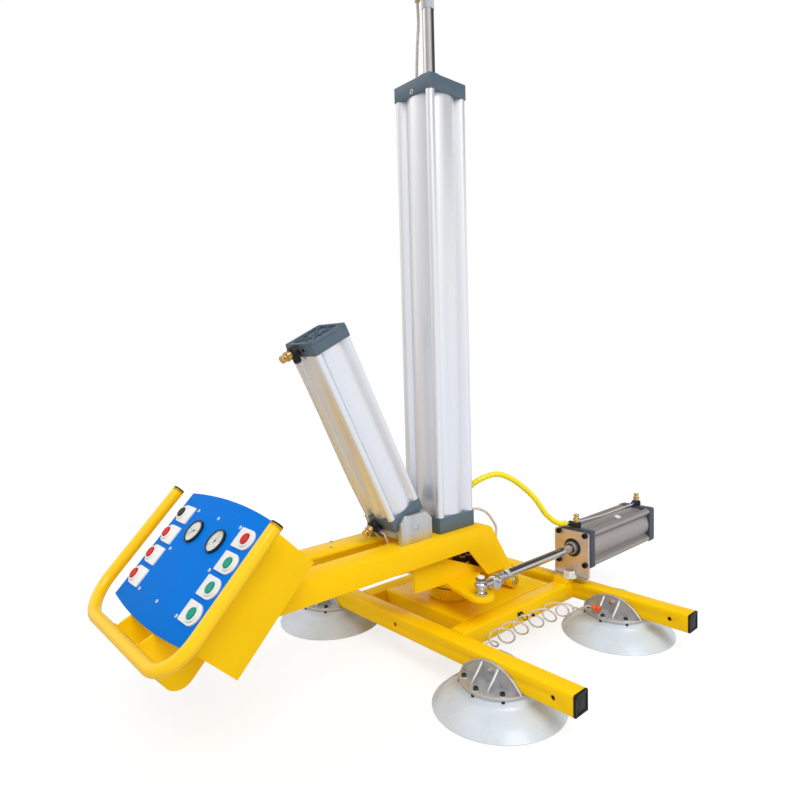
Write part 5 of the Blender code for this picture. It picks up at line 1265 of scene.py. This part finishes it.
class LIFTER_OT_tilt_cylinder(bpy.types.Operator):
    """Makes the leaning cylinder: barrel, caps, trunnion block, rod, flow controls and hoses"""
    bl_idname = "lifter.tilt_cylinder"
    bl_label = "Tilt cylinder"

    def execute(self, context):
        thin = context.scene.lifter_sizes.thin_hose
        low, high = local_span("tilt_barrel", TILT_PLACE)
        make_barrel("tilt_barrel", "tilt_cylinder", TILT_PLACE, low.z, high.z, SKIN, CAP, RIB)
        rear_low = high.z + GAP
        rear_high = rear_low + CAP_LENGTH
        piece = Piece()
        recessed_cap(piece, rear_low, rear_high, "slate_paint")
        height = (rear_low + rear_high) / 2
        elbow = flow_control(piece, (-0.012, -CAP, height), (0, 0, -1), "violet_plastic", 1.3)
        port_hole(piece, Vector((0.014, -CAP, height)), "dark_steel", 0.003, 0.0046, -0.0006, 0.0005,
            0.0002)
        piece.dress("tilt_cap_rear", "_cast", "tilt_cylinder", TILT_PLACE)
        front_low = low.z - GAP - CAP_LENGTH
        piece = Piece()
        plain_cap(piece, CAP, front_low, low.z - GAP, "slate_paint")
        lower = flow_control(piece, (-0.012, -CAP, front_low + CAP_LENGTH / 2), (0.8, 0, -0.6),
            "violet_plastic", 1.3)
        for x in (-1, 1):
            for z in (0.008, 0.026):
                seat = Vector((x * CAP, -0.03, front_low + z))
                piece.add(rod(0.0016, seat - Vector((x * 0.001, 0, 0)), seat + Vector((x * 0.0003, 0, 0)),
                    12), "dark_steel")
        piece.dress("tilt_cap_front", "_cast", "tilt_cylinder", TILT_PLACE)
        self.make_trunnion_block(front_low)
        make_small_rod("tilt_rod", "tilt_piston", TILT_PLACE, [(ROD, 0)])
        paint_node("tilt_rod_eye", "_plated", "tilt_piston", 0.001, "zinc_steel")
        self.make_hoses(elbow, lower, thin)
        self.make_tag()
        return {"FINISHED"}

    def make_trunnion_block(self, cap_low):
        high = cap_low - GAP
        low = high - 0.035
        piece = Piece()
        piece.add(block((-CAP, -0.046, low), (CAP, 0.046, high), 0.0012, 0.004, "x"), "bare_aluminium")
        reach = 0.0702
        piece.add(rod(0.01, (-reach, 0, 0), (reach, 0, 0), 40, 0.001), "zinc_steel")
        piece.add(washer(ROD + 0.0008, 0.02, low - 0.0015, low + 0.001, 40), "black_plastic")
        piece.dress("trunnion_block", "_milled", "tilt_cylinder", TILT_PLACE)

    def make_hoses(self, elbow, lower, thin):
        barrel_y = -SKIN - 0.0145
        run = [elbow, elbow + up(-0.02), Vector((-0.02, barrel_y, 0.43)), Vector((-0.026, barrel_y, 0.3)),
            Vector((-0.028, barrel_y, 0.17)), Vector((-0.026, -CAP - 0.01, 0.075)),
            Vector((-0.023, -CAP - 0.012, 0.02)), Vector((-0.02, -CAP - 0.004, -0.014))]
        air_hose("tilt_hose_long", [TILT_PLACE @ p for p in run], thin, "tilt_cylinder", 30)
        arm = Vector((0.8, 0, -0.6))
        run = [lower, lower + arm * 0.012, lower + Vector((0.014, -0.004, -0.02)),
            lower + Vector((0.008, -0.001, -0.046)), lower + Vector((-0.004, 0.008, -0.066))]
        air_hose("tilt_hose_short", [TILT_PLACE @ p for p in run], thin, "tilt_cylinder", 16)

    def make_tag(self):
        piece = Piece()
        piece.add(curved_tag(SKIN, -0.19, 0.19, 0.27, 0.312), "tag",
            Matrix.Rotation(-pi / 2 - 0.385, 4, "Z"))
        piece.make("tilt_barrel_tag", "tilt_cylinder", TILT_PLACE)


def curved_tag(radius, start, end, low, high):
    """A thin bare tag that lies on a round barrel."""
    steps = 8
    inner, outer = radius - 0.0002, radius + 0.0004
    angles = [start + (end - start) * i / steps for i in range(steps + 1)]
    return loft([[(r * cos(angle), r * sin(angle), z) for r, z in ((inner, low), (outer, low),
        (outer, high), (inner, high))] for angle in angles])


class LIFTER_OT_slew_cylinder(bpy.types.Operator):
    """Makes the level cylinder: barrel, caps, flange, foot, rod, flow controls and hose"""
    bl_idname = "lifter.slew_cylinder"
    bl_label = "Turning cylinder"

    def execute(self, context):
        thin = context.scene.lifter_sizes.thin_hose
        low, high = local_span("slew_barrel", SLEW_PLACE)
        make_barrel("slew_barrel", "slew_cylinder", SLEW_PLACE, low.z, high.z, SKIN, CAP, RIB,
            "dull_anodised")
        front_high = low.z - GAP
        front_low = front_high - 0.026
        piece = Piece()
        # front cap in the darker slate, painted shade
        plain_cap(piece, CAP, front_low, front_high, "dark_slate")
        flow_control(piece, (0, -CAP, (front_low + front_high) / 2), (-1, 0, 0))
        flange = front_low - GAP - FLANGE
        nose = flange - 0.014
        piece.add(turned([(ROD + 0.001, front_low + 0.003), (0.019, front_low + 0.003),
            (0.019, nose + 0.0012), (0.0178, nose), (ROD + 0.0032, nose), (ROD + 0.001, nose + 0.003)], 56),
            "dull_anodised")
        piece.add(turned([(0.0195, flange - 0.003), (0.0268, flange - 0.003), (0.028, flange - 0.0018),
            (0.028, flange + 0.0002), (0.0195, flange + 0.0002)], 56), "dark_steel")
        piece.dress("slew_cap_front", "_cast", "slew_cylinder", SLEW_PLACE)
        rear_low = high.z + GAP
        piece = Piece()
        # rear cap in the darker slate, painted shade
        recessed_cap(piece, rear_low, rear_low + CAP_LENGTH, "dark_slate")
        elbow = flow_control(piece, (0, -CAP, rear_low + CAP_LENGTH / 2), (0, 0, -1))
        piece.dress("slew_cap_rear", "_cast", "slew_cylinder", SLEW_PLACE)
        self.make_foot(flange)
        make_small_rod("slew_rod", "slew_piston", SLEW_PLACE, [(ROD - 0.002, 0), (ROD, 0.003)])
        self.make_hoses(elbow, front_high, thin)
        tag = Piece()
        tag.add(curved_tag(SKIN, -0.16, 0.16, high.z - 0.15, high.z - 0.128), "tag",
            Matrix.Rotation(-pi / 2 + 0.3, 4, "Z"))
        tag.make("slew_barrel_tag", "slew_cylinder", SLEW_PLACE)
        return {"FINISHED"}

    def make_foot(self, flange):
        """Upright flange and foot in bronze sheet, four socket screws and the hexagonal foot bolt."""
        drop = SLEW_AXIS.z - FRAME_TOP - GAP - SLEW_SEAT
        screw_reach = 0.045
        piece = Piece()
        piece.add(block((-0.0635, -0.051, flange), (0.0535, drop, flange + FLANGE), 0.0008, 0.004, "z"),
            "bronze")
        sheet = 0.002
        piece.add(block((-0.0635, drop - sheet, flange - 0.017), (0.0535, drop, flange + 0.0045), 0.0006,
            0.003, "y"), "zinc_steel")
        for x in (-1, 1):
            for y in (-1, 1):
                spot = Vector((x, y, 0)) * screw_reach + up(flange)
                piece.add(rod(0.0098, spot + up(0.0005), spot - up(0.001), 28, 0.0003), "zinc_steel")
                socket_screw(piece, spot - up(0.0008), (0, 0, -1), 0.0082, 0.0088, "black_plastic")
        bolt = flange - 0.018
        foot = drop - sheet
        piece.add(turned([(0, -sheet), (0.0208, -sheet), (0.0208, 0.0018), (0.0198, 0.0028), (0, 0.0028)],
            48), "tag", along((0, foot, bolt), (0, foot - 1, bolt)))
        piece.add(hexagon(0.0188, (0, foot - 0.002, bolt), (0, foot - 0.0176, bolt), 0.002), "tag")
        piece.add(rod(0.014, (0, foot - 0.017, bolt), (0, foot - 0.0188, bolt), 40, 0.0008), "zinc_steel")
        piece.dress("slew_foot", "_bronze", "slew_cylinder", SLEW_PLACE)
        low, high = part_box("cross_tube_right")
        seat = Piece().add(slab([(high.y - 0.036, 0), (high.y - 0.031, SLEW_SEAT - GAP),
            (high.y + 0.048, SLEW_SEAT - GAP), (high.y + 0.048, 0)], low.x + 0.0004, high.x - 0.0002,
            0.0012, shift(0, 0, FRAME_TOP) @ SIDE_VIEW), "yellow_paint")
        seat.make("slew_foot_seat", "pad_carriage")

    def make_hoses(self, elbow, front, thin):
        """A clear hose runs along the barrel from the rear flow control to the wrapped bundle."""
        crown = -SKIN - 0.0045
        mouth = SLEW_PLACE.inverted() @ hoist_point(*WRAP_ROUTE[-1])
        run = [elbow, elbow + Vector((0, 0.001, -0.02)), Vector((-0.006, crown - 0.006, elbow.z - 0.07)),
            Vector((-0.014, crown - 0.001, elbow.z - 0.16)), Vector((-0.02, crown - 0.004, front + 0.06)),
            Vector((mouth.x + 0.003, -CAP - 0.008, front + 0.012)), mouth + Vector((0.002, 0, 0.001))]
        air_hose("slew_hose_long", [SLEW_PLACE @ p for p in run], thin, "slew_cylinder", 30)


class LIFTER_OT_lever_linkage(bpy.types.Operator):
    """Makes the lever pin and the rod's eye, link plate and cross bolt"""
    bl_idname = "lifter.lever_linkage"
    bl_label = "Lever linkage"

    def execute(self, context):
        self.make_pin()
        self.make_eye()
        return {"FINISHED"}

    def make_pin(self):
        low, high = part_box("lever_pin")
        centre = (low + high) / 2
        axis = SLEW_AXIS.z
        eye = 0.0073
        seat, under = axis + eye, axis - eye
        piece = Piece()
        piece.add(turned([(0, low.z), (0.0158, low.z), (0.0166, low.z + 0.0008), (0.0166, low.z + 0.004),
            (0.0152, low.z + 0.0052), (0.011, low.z + 0.0066), (0.0098, low.z + 0.0084),
            (0.0098, under - 0.0044), (0.0132, under - 0.0022), (0.0132, under), (0.009, under),
            (0.009, seat), (0.0128, seat), (0.0132, seat + 0.0006), (0.0132, seat + 0.005),
            (0.0116, seat + 0.0062), (0.0116, seat + 0.0086), (0.0, seat + 0.0086)], 56), "zinc_steel")
        piece.add(turned([(0.005, seat + 0.008), (0.0132, seat + 0.008), (0.0136, seat + 0.0088),
            (0.0132, seat + 0.0104), (0.005, seat + 0.0104)], 48), "dark_steel")
        piece.add(turned([(0, seat + 0.01), (0.0102, seat + 0.01), (0.0102, seat + 0.0142),
            (0.009, seat + 0.0158), (0.0046, seat + 0.0158), (0.004, seat + 0.014), (0, seat + 0.014)], 48),
            "white_plastic")
        piece.dress("lever_pin", "_plated", "tilt_frame", shift(centre.x, centre.y, 0))

    def make_eye(self):
        reach = 0.096
        piece = Piece()
        piece.add(turned([(0.0093, -0.007), (0.015, -0.007), (0.0176, -0.004), (0.0176, 0.004),
            (0.015, 0.007), (0.0093, 0.007)], 48), "zinc_steel", Matrix.Rotation(pi / 2, 4, "X"))
        piece.add(block((-0.012, -0.0042, 0.014), (0.012, 0.0042, 0.06), 0.001, 0.002, "y"), "zinc_steel")
        fork = arc((0.008, 0.053), 0.0168, 190, 375, 18) + [(0.012, 0.078), (0.009, 0.087), (-0.009, 0.087),
            (-0.01, 0.066)]
        for low, high in ((-0.0118, -0.0052), (0.0052, 0.0118)):
            piece.add(slab(fork, low, high, 0.0009, SIDE_VIEW), "zinc_steel")
        piece.add(rod(0.01, (0, 0, 0.07), (0, 0, 0.087), 32, 0.001), "zinc_steel")
        piece.add(rod(0.012, (0, 0, 0.085), (0, 0, reach - 0.0005), 32, 0.001), "zinc_steel")
        piece.add(rod(0.0085, (-0.0125, 0, 0.058), (0.0125, 0, 0.058), 28, 0.0005), "zinc_steel")
        piece.add(hexagon(0.0066, (-0.017, 0, 0.058), (-0.012, 0, 0.058)), "zinc_steel")
        piece.add(hexagon(0.0066, (0.012, 0, 0.058), (0.017, 0, 0.058)), "zinc_steel")
        piece.add(rod(0.0036, (-0.019, 0, 0.058), (0.019, 0, 0.058), 20, 0.0005), "zinc_steel")
        piece.dress("slew_rod_eye", "_plated", "slew_piston", SLEW_PLACE)
        thread = Piece()
        threads = 9
        pitch = 0.0015
        start = reach + GAP
        profile = [(0, start)]
        for i in range(threads):
            z = start + i * pitch
            profile += [(0.0129, z), (0.0137, z + pitch / 2)]
        end = start + threads * pitch
        profile += [(0.0129, end), (0, end)]
        thread.add(turned(profile, 40), "zinc_steel")
        thread.make("slew_rod_thread", "slew_piston", SLEW_PLACE)


def panel_place(x, down):
    """A place on the panel: X across, Y up the slope, Z out of the face."""
    turn = Matrix((Vector((1, 0, 0)), PANEL_UP, PANEL_OUT)).transposed().to_4x4()
    return Matrix.Translation(PANEL_TOP + Vector((x, 0, 0)) - PANEL_UP * down) @ turn


class LIFTER_OT_control_box(bpy.types.Operator):
    """Paints the box and makes the blue panel, its screws, the button housings and the handlebar"""
    bl_idname = "lifter.control_box"
    bl_label = "Control box"

    def execute(self, context):
        edge = context.scene.lifter_sizes.edge
        paint_node("control_box", "_painted", "carrier", edge, move=self.trimmed)
        self.make_panel()
        self.make_handlebar()
        return {"FINISHED"}

    def trimmed(self, point):
        """Draws the gussets' upper tips in behind the lower bar."""
        place = panel_place(0, 0)
        local = place.inverted() @ point
        if local.y < -GUSSET_TIP - 0.015 and local.z > -0.01:
            local.y = -GUSSET_TIP
        return place @ local

    def make_panel(self):
        radius = (PANEL_HALF ** 2 + PANEL_CROWN ** 2) / (2 * PANEL_CROWN)
        half = asin(PANEL_HALF / radius) * 180 / pi
        top = arc((0, PANEL_CROWN - radius), radius, 90 + half, 90 - half, 32)
        low = -PANEL_LENGTH
        bottom = arc((0, low + PANEL_CROWN - radius), radius, 90 + half, 90 - half, 32)
        bottom = [(u, 2 * low - v) for u, v in reversed(bottom)]
        piece = Piece()
        piece.add(slab(top + bottom, -PANEL_SHEET, 0, 0.0007), "blue_paint")
        for side in (-1, 1):
            for i in range(4):
                self.add_housing(piece, side, BUTTON_FIRST + i * BUTTON_PITCH)
        for down, places in ((0.034, (-0.099, 0, 0.099)), (0.133, (-0.099, 0.099)),
                (0.232, (-0.099, 0, 0.099))):
            for x in places:
                self.add_panel_screw(piece, x, -down)
        piece.dress("control_panel", "_blue", "carrier", panel_place(0, 0))

    def add_housing(self, piece, side, down):
        """A white housing, square towards the middle of the panel and round towards its edge."""
        bend = arc((BUTTON_X, 0), BEZEL_HALF_HEIGHT, -90, 90, 24)
        square = 0.003
        inner = BEZEL_INNER_X
        outline = bend + arc((inner + square, BEZEL_HALF_HEIGHT - square), square, 90, 180, 4)
        outline += arc((inner + square, -BEZEL_HALF_HEIGHT + square), square, 180, 270, 4)
        if side < 0:
            outline = [(-u, v) for u, v in reversed(outline)]
        piece.add(slab(outline, -0.0005, BEZEL_THICKNESS, 0.001), "white_plastic", shift(0, -down, 0))
        centre = shift(side * BUTTON_X, -down, 0)
        piece.add(turned([(BUTTON_RADIUS + 0.0003, 0.001), (COLLAR_RADIUS + 0.001, 0.001),
            (COLLAR_RADIUS + 0.0004, BEZEL_THICKNESS), (COLLAR_RADIUS, COLLAR_HEIGHT - 0.0016),
            (COLLAR_RADIUS - 0.0012, COLLAR_HEIGHT), (BUTTON_RADIUS + 0.0012, COLLAR_HEIGHT),
            (BUTTON_RADIUS + 0.0003, COLLAR_HEIGHT - 0.0008)], 48), "white_plastic", centre)

    def add_panel_screw(self, piece, x, y):
        centre = shift(x, y, 0)
        piece.add(turned([(0, -0.001), (0.0038, -0.001), (0.0038, 0.0008), (0.003, 0.002), (0, 0.0024)],
            24), "white_plastic", centre)
        # dark cross on each head: painted shade of its recess
        for turn in (0.4, 0.4 + pi / 2):
            piece.add(block((-0.0024, -0.0004, 0.0018), (0.0024, 0.0004, 0.0026)), "dark_steel",
                centre @ Matrix.Rotation(turn, 4, "Z"))

    def make_handlebar(self):
        """The U of round tube, a black plug in each end that paints the shade of the open tube end, and weld
        beads where the gussets meet it.
        """
        x, bend, low = HANDLE_X, HANDLE_BEND, -HANDLE_BAR
        route = [(x, -HANDLE_TOP), (x, -0.09), (x, -0.17)]
        route += arc((x - bend, low + bend), bend, 0, -90, 14)
        route += [(0.07, low), (0, low), (-0.07, low)]
        route += arc((-x + bend, low + bend), bend, -90, -180, 14)
        route += [(-x, -0.17), (-x, -0.09), (-x, -HANDLE_TOP)]
        points = [Vector((u, v, HANDLE_OUT)) for u, v in route]
        piece = Piece()
        piece.add(swept(points, HANDLE_RADIUS, 36), "bar_paint")
        for side in (-1, 1):
            end = Vector((side * x, -HANDLE_TOP, HANDLE_OUT))
            mouth = along(end, end + Vector((0, 1, 0)))
            piece.add(turned([(0.0112, -0.004), (HANDLE_RADIUS, -0.004), (HANDLE_RADIUS, 0),
                (0.013, 0.0006), (0.0117, 0.0006), (0.0112, 0)], 36), "yellow_paint", mouth)
            # black plug: painted shade of the tube's open end
            piece.add(turned([(0, -0.002), (0.0113, -0.002), (0.0113, 0.0007), (0.0134, 0.0008),
                (0.0134, 0.0034), (0.0124, 0.0046), (0, 0.005)], 36), "black_plastic", mouth)
            for flank in (-1, 1):
                self.add_weld(piece, side * 0.062 + flank * 0.003)
        piece.dress("handlebar", "_painted", "carrier", panel_place(0, 0), 40)

    def add_weld(self, piece, x):
        """Short overlapping beads of weld on the back and the inner side of the lower bar."""
        beads = 7
        for i in range(beads):
            angle = radians(70 + 95 * i / (beads - 1))
            size = 0.0021 * (1 + 0.25 * noise.noise(Vector((x * 90, i * 0.7, 3))))
            place = Vector((x, -HANDLE_BAR + cos(angle) * (HANDLE_RADIUS + 0.0004) * -1,
                HANDLE_OUT - sin(angle) * (HANDLE_RADIUS + 0.0004)))
            bead = turned([(0, -size), (size * 0.7, -size * 0.7), (size, 0), (size * 0.7, size * 0.7),
                (0, size)], 12)
            piece.add(bead, "yellow_paint", Matrix.Translation(place))


class LIFTER_OT_gauges(bpy.types.Operator):
    """Makes the two dial gauges with their scales, needles and lenses"""
    bl_idname = "lifter.gauges"
    bl_label = "Gauges"

    def execute(self, context):
        for name, side, reading in (("gauge_left", -1, 0.04), ("gauge_right", 1, 0.52)):
            self.make_gauge(name, side * GAUGE_X, reading)
        return {"FINISHED"}

    def make_gauge(self, name, x, reading):
        card = GAUGE_FRONT - 0.003
        ring = GAUGE_RADIUS - 0.0034
        piece = Piece()
        piece.add(turned([(0, -GAUGE_DEPTH), (GAUGE_BODY, -GAUGE_DEPTH), (GAUGE_BODY, 0),
            (GAUGE_RADIUS - 0.0006, 0.0002), (GAUGE_RADIUS, 0.001), (GAUGE_RADIUS, GAUGE_FRONT - 0.0018),
            (GAUGE_RADIUS - 0.0012, GAUGE_FRONT), (GAUGE_RADIUS - 0.0026, GAUGE_FRONT),
            (ring, GAUGE_FRONT - 0.0008), (ring, card - 0.0006), (0, card - 0.0006)], 72), "black_plastic")
        piece.add(washer(0, ring - 0.0001, card - 0.0008, card, 64), "dial_card")
        self.add_scale(piece, card, ring)
        self.add_needle(piece, card, ring, reading)
        piece.dress(name, "_dial", "carrier", panel_place(x, GAUGE_DOWN))
        lens = Piece()
        rim = ring + 0.0002
        lens.add(turned([(0, GAUGE_FRONT - 0.0012), (rim, GAUGE_FRONT - 0.0016),
            (rim, GAUGE_FRONT - 0.0008), (rim * 0.6, GAUGE_FRONT - 0.0004), (0, GAUGE_FRONT - 0.0002)], 64),
            "lens")
        lens.make(name + "_lens", "carrier", panel_place(x, GAUGE_DOWN))

    def dial_angle(self, share):
        return radians(225 - 270 * share)

    def add_scale(self, piece, card, ring):
        """Eleven numbered marks with four small ones between each pair, and a coloured band."""
        majors = 10
        minors = 5
        for i in range(majors * minors + 1):
            angle = self.dial_angle(i / (majors * minors))
            long_mark = i % minors == 0
            inner = ring * (0.78 if long_mark else 0.84)
            width = 0.00038 if long_mark else 0.00018
            mark = block((inner, -width, card - 0.0002), (ring * 0.9, width, card + 0.0001))
            piece.add(mark, "dial_ink", Matrix.Rotation(angle, 4, "Z"))
        for i in range(0, majors + 1, 2):
            angle = self.dial_angle(i / majors)
            spot = Vector((cos(angle), sin(angle), 0)) * ring * 0.62 + up(card + 0.00002)
            piece.add(numeral(str(i), 0.0046), "dial_ink", Matrix.Translation(spot))
        band = arc((0, 0), ring * 0.935, 225, 60, 30) + arc((0, 0), ring * 0.905, 60, 225, 30)
        piece.add(slab(band, card - 0.0002, card + 0.00008), "dial_band")

    def add_needle(self, piece, card, ring, reading):
        angle = self.dial_angle(reading)
        tip = ring * 0.8
        needle = slab([(-0.006, -0.0008), (tip, -0.00015), (tip, 0.00015), (-0.006, 0.0008)], card + 0.0006,
            card + 0.0009)
        piece.add(needle, "dial_ink", Matrix.Rotation(angle, 4, "Z"))
        piece.add(turned([(0, card), (0.0021, card), (0.0021, card + 0.0012), (0.0014, card + 0.0015),
            (0, card + 0.0015)], 24), "dial_ink")



class LIFTER_OT_push_buttons(bpy.types.Operator):
    """Makes the eight sprung buttons, which ride on their own bodies"""
    bl_idname = "lifter.push_buttons"
    bl_label = "Push buttons"

    def execute(self, context):
        for word, side in (("left", -1), ("right", 1)):
            for i in range(4):
                name = "button_%s_%d" % (word, i + 1)
                look = "green_plastic" if side > 0 and i else "red_plastic"
                if name == "button_left_1":
                    look = "black_plastic"
                low = BUTTON_TOP - 0.0125
                radius = BUTTON_RADIUS
                piece = Piece().add(turned([(0, low), (radius, low), (radius, BUTTON_TOP - 0.0018),
                    (radius - 0.0005, BUTTON_TOP - 0.0006), (radius - 0.0018, BUTTON_TOP),
                    (radius * 0.72, BUTTON_TOP - 0.0004), (radius * 0.4, BUTTON_TOP - 0.0009),
                    (0, BUTTON_TOP - 0.0011)], 48), look)
                piece.make(name + "_cap_face", name + "_cap",
                    panel_place(side * BUTTON_X, BUTTON_FIRST + i * BUTTON_PITCH), (name,), sharp=50)
        return {"FINISHED"}


STEPS = (LIFTER_OT_stage, LIFTER_OT_hoses, LIFTER_OT_pad_frame, LIFTER_OT_pads, LIFTER_OT_turntable,
    LIFTER_OT_arm, LIFTER_OT_hoist_cylinder, LIFTER_OT_tilt_cylinder, LIFTER_OT_slew_cylinder,
    LIFTER_OT_lever_linkage, LIFTER_OT_control_box, LIFTER_OT_gauges, LIFTER_OT_push_buttons)


class LIFTER_PT_panel(bpy.types.Panel):
    """Lists the lifter's colours, sizes and pieces"""
    bl_idname = "LIFTER_PT_panel"
    bl_label = "Vacuum lifter"
    bl_space_type = "VIEW_3D"
    bl_region_type = "UI"
    bl_category = "Lifter"

    def draw(self, context):
        layout = self.layout
        for group in (context.scene.lifter_finishes, context.scene.lifter_sizes):
            column = layout.column()
            for name in group.__annotations__:
                column.prop(group, name)
        for step in STEPS:
            layout.operator(step.bl_idname)


CLASSES = (LIFTER_PG_finishes, LIFTER_PG_sizes, *STEPS, LIFTER_PT_panel)


def register():
    for entry in CLASSES:
        bpy.utils.register_class(entry)
    bpy.types.Scene.lifter_finishes = bpy.props.PointerProperty(type=LIFTER_PG_finishes)
    bpy.types.Scene.lifter_sizes = bpy.props.PointerProperty(type=LIFTER_PG_sizes)


def unregister():
    del bpy.types.Scene.lifter_sizes
    del bpy.types.Scene.lifter_finishes
    for entry in reversed(CLASSES):
        bpy.utils.unregister_class(entry)


def main():
    register()
    LOOKS.update(make_finishes())
    bpy.ops.lifter.stage()
    bpy.ops.lifter.hoses()
    bpy.ops.lifter.pad_frame()
    bpy.ops.lifter.pads()
    bpy.ops.lifter.turntable()
    bpy.ops.lifter.arm()
    bpy.ops.lifter.hoist_cylinder()
    bpy.ops.lifter.tilt_cylinder()
    bpy.ops.lifter.slew_cylinder()
    bpy.ops.lifter.lever_linkage()
    bpy.ops.lifter.control_box()
    bpy.ops.lifter.gauges()
    bpy.ops.lifter.push_buttons()


if __name__ == "__main__":
    main()
